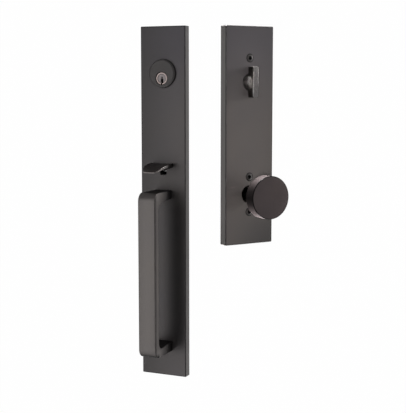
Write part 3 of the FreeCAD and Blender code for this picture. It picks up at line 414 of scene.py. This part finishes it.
def layered(start, place, colour, layers):
    # Each layer: where it shows, its colour and how much of it
    settings = {"data_type": "RGBA", "clamp_factor": True}
    for where, layer, share in layers:
        sockets = {0: where(place) * share, 6: colour, 7: (*layer, 1.0)}
        colour = start.node("ShaderNodeMix", settings, sockets, out=2)
    return colour


def finish(name, look, inside=False, layers=(), lines=None):
    # Metal or a metallic coat: slow unevenness, fine grain, tool marks, and layers, most of them painted
    # light and shade such as dark edges
    material, start = startMaterial(name)
    place = objectPlace(start, inside)
    slow = grain(place, *look["slow"])
    fine = grain(place, *look["fine"])
    colour = tone(start, (slow - 0.5) * look["uneven"] + 0.5, look["dark"], look["light"])
    colour = layered(start, place, colour, layers)
    rough = look["rough"] + (slow - 0.5) * look["roughSwing"] + (fine - 0.5) * look["fineSwing"]
    relief = fine + lines(place) if lines else fine
    bump = start.node("ShaderNodeBump", sockets={
        "Strength": look["bump"], "Distance": look["relief"], "Height": relief})
    edge = (look["edgeTint"],) * 3 + (1.0,)
    shader = start.node("ShaderNodeBsdfPrincipled", sockets={
        "Base Color": colour, "Roughness": rough, "Metallic": look["metallic"], "Specular Tint": edge,
        "Normal": bump})
    return endMaterial(material, shader)


def shade(level, green, blue, swing=0.13, drift=0.05):
    # The dark and light ends of an uneven colour, which drifts from bluish to brownish
    dark, light = level * (1 - swing), level * (1 + swing)
    return {"dark": (dark, dark * green, dark * blue * (1 + drift)),
            "light": (light * (1 + drift / 2), light * green, light * blue * (1 - drift))}


def around(places, inner, outer, soft=0.0002):
    # Rings about axes along Y at several heights
    def mask(place):
        found = None
        for centreUp in places:
            away = axisDistance(place, centreUp)
            ring = away.fade(inner - soft, inner + soft) * (1.0 - away.fade(outer - soft, outer + soft))
            found = found.over(ring) if found else ring
        return found
    return mask


def within(radius, centreUp, front=-1.0, soft=0.0004):
    # Inside a radius about an axis along Y, and no further forward than front
    def mask(place):
        forward = spread(place, "Y")[0]
        inner = 1.0 - axisDistance(place, centreUp).fade(radius - soft, radius + soft)
        return inner * forward.fade(front - soft, front + soft)
    return mask


def discLines(centreUp, pitch, depth):
    # Fine turning marks about an axis along Y
    def lines(place):
        wave = axisDistance(place, centreUp) * (math.tau / pitch)
        return wave.maths("SINE", wave) * depth
    return lines


# One dark coat covers the plates, grip, cylinder head, knob, thumbturn and thumbpiece; each piece's own
# colour level below is partly painted light and shade
graphite = {
    "metallic": 0.5, "edgeTint": 0.5,
    "slow": (14.0, 0.55, 2.0), "fine": (2600.0, 0.6, 2.0),  # scale, roughness and detail of the grain
    "uneven": 1.2, "rough": 0.42, "roughSwing": 0.08, "fineSwing": 0.06,
    "bump": 0.25, "relief": 0.00008,
}
polished = {**graphite, "metallic": 1.0, "rough": 0.30}
bare = {**polished, "slow": (80.0, 0.55, 2.0), "uneven": 1.0, "bump": 0.2, "edgeTint": 1.0, "rough": 0.32}
paintedShade = (0.016, 0.015, 0.015)  # painted shade: the dark colour laid on edges, gaps, recesses and corners where shade falls
# Painted light: the lighter colour laid on the plates' sides where light falls
paintedSideLight = (0.14, 0.134, 0.13)
# Painted shadow: the dark colour laid on sides turned from the light
paintedShadow = (0.012, 0.011, 0.01)
deep = (0.004, 0.004, 0.004)
deepest = (0.003, 0.003, 0.003)

looks = {
    "zinc": finish("zincPlate", {**bare, **shade(0.44, 1.0, 1.0), "rough": 0.36}),
    "brass": finish("bareBrass", {**bare, **shade(0.58, 0.74, 0.34)}),
    "black": finish("blackOxide", {**bare, **shade(0.014, 0.97, 0.94), "rough": 0.5, "edgeTint": 0.3}),
    "ring": finish("ringCoat", {**polished, **shade(0.02, 0.94, 0.93)}, inside=True),
    "collar": finish("collarCoat", {**polished, **shade(0.05, 0.95, 0.94), "rough": 0.4}, inside=True),
}


def dress(item, look):
    item.data.materials.clear()
    item.data.materials.append(looks[look])


# Plates

plateSizes = {
    "half": 0.034925,
    "outerEnds": (-0.28895, 0.2127),
    "innerEnds": (-0.06285, 0.20855),
    "headRing": (0.0199, 0.0205),  # painted shade line round the cylinder's head
    # painted shade ring round each plate screw's head
    "screwRing": (0.0046, 0.0055),
    # Where the painted light and shade and the plates' tone change: each pair is the start and the end of a
    # change
    "shadeAndCoat": {
        "line": (0.0005, 0.0019), "lineDepth": (0.0105, 0.0113), "side": (0.0002, 0.0006),
        "sideDepth": (0.0098, 0.0106), "top": (0.08, 0.20), "left": (-0.045, 0.03),
        "cornerUp": (-0.07, 0.035), "cornerAcross": (-0.06, 0.03), "gripLow": (-0.262, -0.235),
        "gripHigh": (-0.050, -0.015), "gripNear": (-0.004, 0.024), "gripFar": (0.026, 0.040),
        "gripFarShare": 0.6,
    },
}


def plateEdgeShade(ends):
    # Painted shade: a thin dark line round a plate's front edge
    shadeAndCoat = plateSizes["shadeAndCoat"]
    low, high = ends

    def mask(place):
        across, depth, up = spread(place, "XYZ")
        side = plateSizes["half"] - across.size()
        near = 1.0 - side.under((up - low).under(high - up)).fade(*shadeAndCoat["line"])
        return near * (depth * -1.0).fade(*shadeAndCoat["lineDepth"])
    return mask


def plateSidesLight(place):
    # Painted light on the plates' long sides behind the front edge
    shadeAndCoat = plateSizes["shadeAndCoat"]
    across, depth = spread(place, "XY")
    side = 1.0 - (plateSizes["half"] - across.size()).fade(*shadeAndCoat["side"])
    return side * (1.0 - (depth * -1.0).fade(*shadeAndCoat["sideDepth"]))


def towardsTop(place):
    # Both plates turn bluish and darker near the top
    return spread(place, "Z")[0].fade(*plateSizes["shadeAndCoat"]["top"])


def towardsLeft(place):
    # Painted shade: the exterior plate darker towards the left, where less light falls
    return 1.0 - spread(place, "X")[0].fade(*plateSizes["shadeAndCoat"]["left"])


def lowerCorner(place):
    # The interior plate grows darker downwards and to the right
    shadeAndCoat = plateSizes["shadeAndCoat"]
    across, up = spread(place, "XZ")
    return (1.0 - up.fade(*shadeAndCoat["cornerUp"])) * across.fade(*shadeAndCoat["cornerAcross"])


def gripShadow(place):
    # Painted shadow beside the grip, where the grip shades the plate
    shadeAndCoat = plateSizes["shadeAndCoat"]
    across, up = spread(place, "XZ")
    tall = up.fade(*shadeAndCoat["gripLow"]) * (1.0 - up.fade(*shadeAndCoat["gripHigh"]))
    far = 1.0 - across.fade(*shadeAndCoat["gripFar"]) * shadeAndCoat["gripFarShare"]
    return tall * across.fade(*shadeAndCoat["gripNear"]) * far


looks["outerPlate"] = finish("outerPlateCoat", {**graphite, **shade(0.091, 0.93, 0.935)}, layers=[
    (towardsTop, (0.0755, 0.0698, 0.0771), 1.0), (towardsLeft, (0.052, 0.049, 0.049), 0.8),
    (gripShadow, paintedShade, 0.6), (plateSidesLight, paintedSideLight, 0.6),
    (around((headCentre,), *plateSizes["headRing"]), paintedShade, 0.9),
    (plateEdgeShade(plateSizes["outerEnds"]), paintedShade, 0.9)])
looks["innerPlate"] = finish("innerPlateCoat", {**graphite, **shade(0.084, 0.9, 0.86)}, inside=True, layers=[
    (towardsTop, (0.0645, 0.0588, 0.0625), 1.0), (lowerCorner, (0.045, 0.042, 0.041), 0.8),
    (plateSidesLight, paintedSideLight, 0.9), (around(screwPlaces, *plateSizes["screwRing"]), paintedShade, 1.0),
    (plateEdgeShade(plateSizes["innerEnds"]), paintedShade, 0.95)])


# Cylinder

cylinderSizes = {
    "flat": 0.0066,
    "headMarks": (0.0005, 0.5), "plugMarks": (0.0004, 0.6),  # pitch and depth
    "side": (0.0192, 0.0197), "sideDepth": (-0.0145, -0.0140),
    # Painted shade at the keyway's mouth, from the plug's axis: ends and half width of its wide and its
    # narrow part
    "wideLow": (-0.0056, -0.0048), "wideHigh": (-0.0016, 0.0002), "wide": (0.0016, 0.0024),
    "narrowLow": (-0.0074, -0.0068), "narrowHigh": (0.0016, 0.0026), "narrow": (0.0006, 0.0013),
    "middle": 0.0002,
}


def headSideLight(place):
    # Painted light on the proud part of the cylinder head's side
    size = cylinderSizes
    away = axisDistance(place, headCentre)
    return away.fade(*size["side"]) * (1.0 - spread(place, "Y")[0].fade(*size["sideDepth"]))


def keywayShade(place):
    # Painted shade round the keyway's mouth
    size = cylinderSizes
    across, up = spread(place, "XZ")
    rise = up - latchToBolt
    side = (across - size["middle"]).size()
    found = []
    for part in ("wide", "narrow"):
        tall = rise.fade(*size[part + "Low"]) * (1.0 - rise.fade(*size[part + "High"]))
        found.append(tall * (1.0 - side.fade(*size[part])))
    return found[0].over(found[1])


looks["head"] = finish(
    "headCoat", {**graphite, **shade(0.065, 0.95, 0.95)}, layers=[(headSideLight, (0.2, 0.19, 0.19), 0.7)],
    lines=discLines(headCentre, *cylinderSizes["headMarks"]))
looks["nickel"] = finish(
    "plugNickel", {**bare, **shade(0.34, 0.83, 0.79)},
    lines=discLines(latchToBolt, *cylinderSizes["plugMarks"]),
    layers=[(within(cylinderSizes["flat"], latchToBolt), (0.15, 0.134, 0.134), 1.0),
            (keywayShade, deepest, 1.0)])


# Grip

gripSizes = {
    "half": 0.0132, "plateFront": -0.012, "front": -0.0658, "inside": -0.0538,
    "top": -0.0182, "bottom": -0.2522, "upper": -0.0300, "lower": -0.2376, "slope": 0.004,
    "outerBend": 0.012, "innerBend": 0.011, "bendSteps": 12, "edge": 0.0012, "edgeSteps": 4,
    "through": 0.01,  # how far the cut runs past the plate's face
    # Where the painted shade changes: each pair is the start and the end of a change, from its edge or end
    "shadeAndCoat": {
        "edge": (0.0001, 0.0012), "edgeDepth": (0.0022, 0.0068), "foot": (0.0008, 0.0085),
        "footDepth": (0.0100, 0.0140), "arm": (-0.056, -0.020), "armSide": (0.0004, 0.0012),
        "ledgeLow": (-0.0048, -0.0042), "ledgeHigh": (0.0002, 0.0010), "ledgeSide": (0.0008, 0.0016),
        "ledgeDepth": (-0.0545, -0.0520), "top": (-0.0006, -0.0001),
    },
}


def gripEdgeShade(place):
    # Painted shade along the long front edges of the grip
    shadeAndCoat = gripSizes["shadeAndCoat"]
    across, depth = spread(place, "XY")
    side = 1.0 - (gripSizes["half"] - across.size()).fade(*shadeAndCoat["edge"])
    return side * (1.0 - (depth - gripSizes["front"]).fade(*shadeAndCoat["edgeDepth"]))


def gripFootShade(place):
    # Painted shade on the lower end of the grip's front
    shadeAndCoat = gripSizes["shadeAndCoat"]
    depth, up = spread(place, "YZ")
    low = 1.0 - (up - gripSizes["bottom"]).fade(*shadeAndCoat["foot"])
    return low * (1.0 - (depth - gripSizes["front"]).fade(*shadeAndCoat["footDepth"]))


def armShadeNearPlate(place):
    # Painted shade on the sides of the grip's arms, where they run in to the plate
    shadeAndCoat = gripSizes["shadeAndCoat"]
    across, depth = spread(place, "XY")
    side = 1.0 - (gripSizes["half"] - across.size()).fade(*shadeAndCoat["armSide"])
    return depth.fade(*shadeAndCoat["arm"]) * side


def armTopShade(place):
    # Painted shade on the upward faces of the grip's two arms
    shadeAndCoat = gripSizes["shadeAndCoat"]
    across, depth, up = spread(place, "XYZ")
    rise = up - gripSizes["lower"]
    ledge = rise.fade(*shadeAndCoat["ledgeLow"]) * (1.0 - rise.fade(*shadeAndCoat["ledgeHigh"]))
    inner = ledge * (gripSizes["half"] - across.size()).fade(*shadeAndCoat["ledgeSide"])
    inner = inner * depth.fade(*shadeAndCoat["ledgeDepth"])
    return inner.over((up - gripSizes["top"]).fade(*shadeAndCoat["top"]))


looks["grip"] = finish(
    "gripCoat", {**graphite, **shade(0.14, 0.93, 0.9), "metallic": 0.65, "edgeTint": 0.2},
    layers=[(gripEdgeShade, paintedShade, 0.75), (gripFootShade, paintedShade, 0.97), (armShadeNearPlate, paintedShade, 0.9),
            (armTopShade, paintedShade, 0.85)])


def makeGrip():
    size = gripSizes
    half, front, back = size["half"], size["front"], size["plateFront"]
    grip = block("gripHandle", (-half, front, size["bottom"]), (half, back, size["top"]))
    pickEdges(grip, lambda one, other: close(one.y, front) and close(other.y, front)
              and close(one.z, other.z))
    bpy.ops.mesh.bevel(offset=size["outerBend"], segments=size["bendSteps"], affect="EDGES")
    leaveEdit()
    # The hand space is cut out of the block
    inside = size["inside"]
    space = block("handSpace", (-2 * half, inside, size["lower"]), (2 * half, back, size["upper"]))
    pickFaces(space, lambda middle, normal: normal.y < -0.9)
    bpy.ops.transform.translate(value=(0, 0, -size["slope"]))
    pickEdges(space, lambda one, other: close(one.y, inside) and close(other.y, inside)
              and close(one.z, other.z))
    bpy.ops.mesh.bevel(offset=size["innerBend"], segments=size["bendSteps"], affect="EDGES")
    pickFaces(space, lambda middle, normal: normal.y > 0.9)
    push(depth=size["through"])
    leaveEdit()
    combine(grip, space)
    pickEdges(grip, lambda one, other: close(abs(one.x), half) and close(one.x, other.x)
              and not (close(one.y, back) and close(other.y, back)))
    bpy.ops.mesh.bevel(offset=size["edge"], segments=size["edgeSteps"], affect="EDGES")
    finishPiece(grip, "grip", "handleset", ["grip_handle"])


makeGrip()


# Knob

knobSizes = {
    "neckEnd": -0.003, "neck": 0.0085, "groove": 0.0074, "grooveBack": -0.00485,
    "grooveFront": -0.00595, "neckFront": -0.0369, "flare": 0.013, "back": -0.0439,
    "front": -0.0599, "disc": 0.0265, "frontRound": 0.0009, "backRound": 0.0016,
    "socket": 0.00405, "socketFront": -0.0345, "socketBack": 0.01, "screwPlace": -0.021,
    "screw": 0.00255, "screwUp": -0.0085, "screwTall": 0.01, "screwSides": 32, "bends": 6, "sides": 160,
    "face": 0.5,  # radius of the face's inner ring, as a share of the disc's
    # Turning marks, and where the painted shade and the dark neck change: each pair is the start and the end
    # of a change
    "shadeAndCoat": {
        "marks": (0.0006, 0.5),  # pitch and depth
        "side": (-0.0004, -0.0001), "sideUp": (0.006, 0.020), "rim": (-0.0011, -0.0005),
        "rimDepth": (0.0008, 0.0013), "neck": 0.0108, "neckFront": -0.040,
    },
}


def discSideShade(place):
    # Painted shade on the disc's side at the height of its axis
    shadeAndCoat = knobSizes["shadeAndCoat"]
    middle = 1.0 - spread(place, "Z")[0].size().fade(*shadeAndCoat["sideUp"])
    side = (axisDistance(place) - knobSizes["disc"]).fade(*shadeAndCoat["side"])
    return side * middle


def discRimShade(place):
    # Painted shade along the disc's front edge
    shadeAndCoat = knobSizes["shadeAndCoat"]
    front = 1.0 - (spread(place, "Y")[0] - knobSizes["front"]).fade(*shadeAndCoat["rimDepth"])
    return (axisDistance(place) - knobSizes["disc"]).fade(*shadeAndCoat["rim"]) * front


looks["knob"] = finish(
    "knobCoat", {**polished, **shade(0.074, 0.84, 0.85), "rough": 0.42}, inside=True,
    lines=discLines(0.0, *knobSizes["shadeAndCoat"]["marks"]),
    layers=[(discSideShade, (0.014, 0.012, 0.012), 0.85), (discRimShade, deepest, 1.0),
            (within(knobSizes["shadeAndCoat"]["neck"], 0.0, knobSizes["shadeAndCoat"]["neckFront"]), deep, 1.0)])


def makeKnob():
    size = knobSizes
    knob = rod("knobDisc", size["neck"], size["neckEnd"], size["grooveBack"], size["sides"])
    steps = [(size["groove"], size["grooveBack"]), (size["groove"], size["grooveFront"]),
             (size["neck"], size["grooveFront"]), (size["neck"], size["neckFront"])]
    for step in range(1, size["bends"] + 1):
        share = step / size["bends"]
        lean = 1 - math.cos(share * math.pi / 2)
        steps.append((size["neck"] + (size["flare"] - size["neck"]) * lean,
                      size["neckFront"] + (size["back"] - size["neckFront"]) * share))
    steps += rounded(size["disc"], size["back"], size["backRound"], fromSide=False)
    steps += rounded(size["disc"], size["front"], size["frontRound"])
    steps.append((size["disc"] * size["face"], size["front"]))
    growTurned(knob, steps)
    leaveEdit()
    side = size["socket"]
    combine(knob, block("socketCut", (-side, size["socketFront"], -side), (side, size["socketBack"], side)))
    hole = begin(
        "screwCut", bpy.ops.mesh.primitive_cylinder_add, vertices=size["screwSides"], radius=size["screw"],
        depth=size["screwTall"], location=(0, size["screwPlace"], size["screwUp"]))
    combine(knob, hole)
    finishPiece(knob, "knob", "knob_set", ["knob"], inside=True)


makeKnob()


# Thumbturn

turnSizes = {
    "up": latchToBolt, "half": 0.0042, "tall": 0.019, "front": -0.0255, "back": -0.0141,
    "edge": 0.0012, "stem": 0.0055, "stemBack": 0.008, "groove": 0.0044,
    "grooveBack": -0.00635, "grooveFront": -0.00745, "seat": -0.0138, "cone": 0.0086,
    "coneFoot": -0.0146, "coneTip": 0.0072, "coneFront": -0.0208, "slotThin": 0.0011,
    "slotWide": 0.0043, "slotFront": -0.001, "slotBack": 0.02, "bends": 6, "sides": 96,
    "edgeSteps": 5,
    # Where the painted shade and highlight change: each pair is the start and the end of a change
    "shadeAndCoat": {
        "cone": (0.0, 0.0002), "coneDepth": (-0.0004, 0.0), "side": (0.0003, 0.0009),
        "hubSide": (0.0002, 0.0006), "hubDepth": (-0.0006, -0.0002),
    },
}


def paddleSide(place):
    # The paddle's side that is turned from the light, outside the cone
    shadeAndCoat = turnSizes["shadeAndCoat"]
    across, depth = spread(place, "XY")
    outside = (axisDistance(place, turnSizes["up"]) - turnSizes["cone"]).fade(*shadeAndCoat["cone"])
    ahead = 1.0 - (depth - turnSizes["coneFront"]).fade(*shadeAndCoat["coneDepth"])
    return outside.over(ahead) * (1.0 - (across + turnSizes["half"]).fade(*shadeAndCoat["side"]))


def hubHighlight(place):
    # Painted highlight on the cone beside the paddle
    shadeAndCoat = turnSizes["shadeAndCoat"]
    across, depth = spread(place, "XY")
    beside = (across.size() - turnSizes["half"]).fade(*shadeAndCoat["hubSide"])
    inner = 1.0 - (axisDistance(place, turnSizes["up"]) - turnSizes["coneTip"]).fade(*shadeAndCoat["hubSide"])
    return beside * inner * (depth - turnSizes["coneFront"]).fade(*shadeAndCoat["hubDepth"])


looks["turn"] = finish(
    "turnCoat", {**polished, **shade(0.16, 0.95, 0.94), "rough": 0.27, "bump": 0.08}, inside=True,
    layers=[(paddleSide, paintedShadow, 0.95), (hubHighlight, (0.6, 0.58, 0.57), 0.8)])


def makeThumbturn():
    size = turnSizes
    up = size["up"]
    turn = rod("thumbturnPiece", size["stem"], size["stemBack"], size["grooveBack"], size["sides"], up)
    steps = [(size["groove"], size["grooveBack"]), (size["groove"], size["grooveFront"]),
             (size["stem"], size["grooveFront"]), (size["stem"], size["seat"]),
             (size["cone"], size["seat"]), (size["cone"], size["coneFoot"])]
    for step in range(1, size["bends"] + 1):
        share = step / size["bends"]
        steps.append((size["cone"] + (size["coneTip"] - size["cone"]) * math.sin(share * math.pi / 2),
                      size["coneFoot"] + (size["coneFront"] - size["coneFoot"]) * share))
    growTurned(turn, steps, up)
    leaveEdit()
    half, tall = size["half"], size["tall"]
    paddle = block("paddle", (-half, size["front"], up - tall), (half, size["back"], up + tall))
    modify(paddle, "BEVEL", width=size["edge"], segments=size["edgeSteps"])
    combine(turn, paddle, "UNION")
    thin, wide = size["slotThin"], size["slotWide"]
    slot = block("slotCut", (-thin, size["slotFront"], up - wide), (thin, size["slotBack"], up + wide))
    combine(turn, slot)
    finishPiece(turn, "turn", "turn", ["thumbturn"], inside=True)


makeThumbturn()


# Plate screws

screwSizes = {
    "rim": -0.012, "head": 0.005, "shank": 0.00245, "root": 0.0021, "tip": 0.044, "point": 0.00165,
    "threadBack": 0.043, "threadFront": 0.012, "pitch": 0.0008, "crown": 0.0007, "recess": 0.0026,
    "recessHalf": 0.00057, "recessDepth": 0.0022, "recessTaper": 0.55, "crownWide": 0.8, "bends": 4,
    "sides": 32,
    # Where the painted shade changes: each pair is the start and the end of a change
    "shadeAndCoat": {"cross": (-0.001, 0.0024), "crossSoft": 0.0003, "rim": (0.0043, 0.0056)},
}
screwShade = screwSizes["shadeAndCoat"]
# Painted shade: a dark disc over the cross recess and a dark ring round the head's edge
looks["screw"] = finish(
    "darkScrewPlate", {**bare, **shade(0.07, 0.95, 0.93), "rough": 0.42}, inside=True,
    layers=[(around(screwPlaces, *screwShade["cross"], screwShade["crossSoft"]), deep, 1.0),
            (around(screwPlaces, *screwShade["rim"]), paintedShade, 0.9)])


def makePlateScrews():
    size = screwSizes
    threadEnd = size["threadBack"] + size["pitch"] / 2
    model = rod("plateScrew", size["point"], size["tip"], threadEnd, size["sides"])
    steps = []
    turns = int((size["threadBack"] - size["threadFront"]) / size["pitch"])
    for turn in range(turns):
        depth = size["threadBack"] - turn * size["pitch"]
        steps += [(size["root"], depth), (size["shank"], depth - size["pitch"] / 2)]
    rim = size["rim"]
    steps += [(size["shank"], rim + size["head"] - size["shank"]), (size["head"], rim)]
    for step in range(1, size["bends"] + 1):
        share = step / size["bends"]
        steps.append((size["head"] * (1 - size["crownWide"] * share),
                      rim - size["crown"] * math.sin(share * math.pi / 2)))
    growTurned(model, steps)
    leaveEdit()
    long, thin, taper = size["recess"], size["recessHalf"], size["recessTaper"]
    front = rim - 2 * size["crown"]
    bottom = rim - size["crown"] + size["recessDepth"]
    for wide, tall in ((long, thin), (thin, long)):
        blade = block("recessCut", (-wide, front, -tall), (wide, bottom, tall))
        pickFaces(blade, lambda middle, normal: normal.y > 0.9)
        bpy.ops.transform.resize(value=(taper, 1, taper), center_override=(0, 0, 0))
        leaveEdit()
        combine(model, blade)
    for number, up in enumerate(screwPlaces, 1):
        screw = model.copy()
        screw.data = model.data.copy()
        screw.name = f"plateScrew{number}"
        bpy.context.collection.objects.link(screw)
        screw.location = (0, 0, up)
        bpy.ops.object.select_all(action="DESELECT")
        screw.select_set(True)
        bpy.context.view_layer.objects.active = screw
        bpy.ops.object.transform_apply(location=True, rotation=True, scale=True)
        finishPiece(screw, "screw", "handleset", ["plate_screws"], inside=True)
    bpy.data.objects.remove(model, do_unlink=True)


makePlateScrews()


# Thumbpiece

thumbSizes = {
    "half": 0.0168, "rear": -0.0150, "length": 0.0425, "top": 0.0206, "foot": 0.0132,
    "pivotDepth": -0.003, "pivotUp": 0.013, "eye": 0.0042, "pin": 0.00206, "neckHalf": 0.0032,
    "webStart": 0.0005,  # half depth of the block that the neck and tail grow from
    "columns": (-0.88, -0.6, -0.3, 0.0, 0.3, 0.6, 0.88),  # cuts along the pad, as shares of its half
    "footTaper": 0.8, "padBend": 0.0009, "padAngle": 42, "webBend": 0.0006, "webAngle": 50,
    "bendSteps": 2, "smoothing": 2, "eyeSides": 64,
    # Along the pad: share of the length, share of the half width, drop of the edges, dish, side, depth
    "padRows": [
        (0.0, 1.0, 0.0, 0.0009, 0.0042, 0.0074), (0.26, 1.0, 0.0007, 0.0019, 0.0038, 0.0070),
        (0.53, 0.97, 0.0024, 0.0022, 0.0030, 0.0059), (0.76, 0.86, 0.0053, 0.0019, 0.0023, 0.0046),
        (0.92, 0.68, 0.0084, 0.0010, 0.0016, 0.0028), (1.0, 0.52, 0.0100, 0.0003, 0.0011, 0.0015),
    ],
    # Along the neck and the tail behind it: depth, low, high
    "neckRows": [
        (-0.0050, 0.0086, 0.0172), (-0.0130, 0.0092, 0.0172), (-0.0240, 0.0119, 0.0165),
        (-0.0300, 0.0136, 0.0150),
    ],
    "tailRows": [
        (0.0020, 0.0084, 0.0162), (0.0040, 0.0079, 0.0144), (0.0192, 0.0044, 0.0080),
        (0.0370, 0.0030, 0.0058), (0.0385, 0.0040, 0.0056),
    ],
    # Where the painted highlight and shade change: each pair is the start and the end of a change
    "shadeAndCoat": {
        "end": (0.0125, 0.0150), "lip": (0.0145, 0.0160), "rear": (-0.0340, -0.0270),
        "neck": (-0.0300, -0.0270), "neckUp": (0.0128, 0.0136), "front": (-0.0575, -0.0420),
        "frontShare": 0.35,
    },
}


def thumbEnd(place):
    # The right end of the pad and the neck, in the shade of the pad
    shadeAndCoat = thumbSizes["shadeAndCoat"]
    across, depth, up = spread(place, "XYZ")
    neck = depth.fade(*shadeAndCoat["neck"]) * (1.0 - up.fade(*shadeAndCoat["neckUp"]))
    return (across.fade(*shadeAndCoat["end"]) * depth.fade(*shadeAndCoat["rear"])).over(neck)


def thumbLipHighlight(place):
    # Painted highlight on the pad's right lip and drooping front
    shadeAndCoat = thumbSizes["shadeAndCoat"]
    across, depth = spread(place, "XY")
    lip = across.fade(*shadeAndCoat["lip"]) * (1.0 - depth.fade(*shadeAndCoat["rear"]))
    return lip.over((1.0 - depth.fade(*shadeAndCoat["front"])) * shadeAndCoat["frontShare"])


looks["thumb"] = finish(
    "thumbCoat", {**polished, **shade(0.12, 0.9, 0.89), "metallic": 0.75, "rough": 0.28, "edgeTint": 0.6,
                  "bump": 0.06},
    layers=[(thumbLipHighlight, (0.26, 0.24, 0.235), 0.7), (thumbEnd, paintedShadow, 0.9)])


def shift(item, wanted, up=0.0):
    # Picks corners and moves them up
    cage = reach(item)
    bpy.ops.mesh.select_mode(type="VERT")
    bpy.ops.mesh.select_all(action="DESELECT")
    for vertex in cage.verts:
        if wanted(vertex.co):
            vertex.select_set(True)
    bmesh.update_edit_mesh(item.data)
    bpy.ops.transform.translate(value=(0, 0, up))


def cutAcross(item, place, direction):
    reach(item)
    bpy.ops.mesh.select_all(action="SELECT")
    bpy.ops.mesh.bisect(plane_co=place, plane_no=direction)


def makeThumbPad():
    size = thumbSizes
    half, top, foot = size["half"], size["top"], size["foot"]
    lip = size["rear"] - size["length"]
    pad = block("thumbPad", (-half, lip, foot), (half, size["rear"], top))
    for row in size["padRows"][1:-1]:
        cutAcross(pad, (0, size["rear"] - size["length"] * row[0], 0), (0, 1, 0))
    for column in size["columns"]:
        cutAcross(pad, (half * column, 0, 0), (1, 0, 0))
    waist = (top + foot) / 2
    cutAcross(pad, (0, 0, waist), (0, 0, 1))
    for along, wide, drop, dish, side, depth in size["padRows"]:
        row = size["rear"] - size["length"] * along
        edge = top - drop
        shift(pad, lambda spot: close(spot.y, row) and close(spot.z, foot), up=edge - depth - foot)
        shift(pad, lambda spot: close(spot.y, row) and close(spot.z, waist), up=edge - side - waist)
        for column in (-1.0, *size["columns"], 1.0):
            sunk = dish * (1 - column * column)
            shift(pad, lambda spot: close(spot.y, row) and close(spot.x, half * column)
                  and close(spot.z, top), up=-drop - sunk)
        shift(pad, lambda spot: close(spot.y, row))
        bpy.ops.transform.resize(value=(wide, 1, 1), center_override=(0, row, 0))
        lowest = edge - depth
        shift(pad, lambda spot: close(spot.y, row) and close(spot.z, lowest))
        bpy.ops.transform.resize(value=(size["footTaper"], 1, 1), center_override=(0, row, lowest))
    leaveEdit()
    modify(pad, "BEVEL", width=size["padBend"], segments=size["bendSteps"], limit_method="ANGLE",
           angle_limit=math.radians(size["padAngle"]))
    modify(pad, "SUBSURF", levels=size["smoothing"], render_levels=size["smoothing"])
    return pad


def carryOn(item, rows, direction):
    # Extrudes the end face of a bar through (depth, low, high) rows
    for depth, low, high in rows:
        cage = reach(item)
        spots = [vertex.co for vertex in cage.verts]
        end = max(spot.y * direction for spot in spots) * direction
        ends = [spot.z for spot in spots if close(spot.y, end)]
        height, middle = max(ends) - min(ends), (max(ends) + min(ends)) / 2
        pickFaces(item, lambda centre, normal: close(centre.y, end) and normal.y * direction > 0.5)
        push(depth=depth - end, up=(low + high) / 2 - middle)
        bpy.ops.transform.resize(
            value=(1, 1, (high - low) / height), center_override=(0, depth, (low + high) / 2))


def makeThumbpiece():
    size = thumbSizes
    pad = makeThumbPad()
    wide, depth, up = size["neckHalf"], size["pivotDepth"], size["pivotUp"]
    thin, tall = size["webStart"], size["eye"]
    web = block("thumbWeb", (-wide, depth - thin, up - tall), (wide, depth + thin, up + tall))
    carryOn(web, size["neckRows"], -1)
    carryOn(web, size["tailRows"], 1)
    leaveEdit()
    modify(web, "BEVEL", width=size["webBend"], segments=size["bendSteps"], limit_method="ANGLE",
           angle_limit=math.radians(size["webAngle"]))
    combine(pad, web, "UNION")
    rounds = ((size["eye"], wide, "UNION"), (size["pin"], 2 * wide, "DIFFERENCE"))
    for radius, reachOut, operation in rounds:
        eye = begin(
            "pivotEye", bpy.ops.mesh.primitive_cylinder_add, vertices=size["eyeSides"], radius=radius,
            depth=2 * reachOut, location=(0, depth, up), rotation=(0, math.pi / 2, 0))
        combine(pad, eye, operation)
    pad.name = "thumbpieceForging"
    finishPiece(pad, "thumb", "thumb", ["thumbpiece"], smooth=40)


makeThumbpiece()


# Finishes of the nodes that keep their own shape

nodeLooks = {
    "exterior_plate": "outerPlate", "cylinder_housing": "head", "chamber_cover": "brass",
    "cylinder_plug": "nickel", "key_pins": "brass", "driver_pins": "brass", "pin_springs": "zinc",
    "plug_cap": "brass", "tailpiece": "zinc", "cylinder_retainer": "zinc", "retainer_screws": "zinc",
    "thumbpiece": "thumb", "pivot_pin": "black", "thumb_bracket": "black", "bracket_screws": "black",
    "thumb_spring": "black", "grip_handle": "grip", "grip_screws": "zinc", "through_posts": "zinc",
    "interior_plate": "innerPlate", "plate_screws": "screw", "thumbturn": "turn",
    "turn_collar": "collar", "turn_washer": "zinc", "turn_clip": "zinc", "knob": "knob",
    "knob_bushing": "ring", "knob_ring": "zinc", "set_screw": "zinc", "spindle": "zinc",
    "spring_case": "zinc", "case_screws": "zinc", "driver_hub": "zinc", "knob_spring": "zinc",
}
for name, look in nodeLooks.items():
    dress(nodes[name], look)
print("finishes ready:", len(looks), "on", len(nodeLooks), "nodes")


print("scene built")
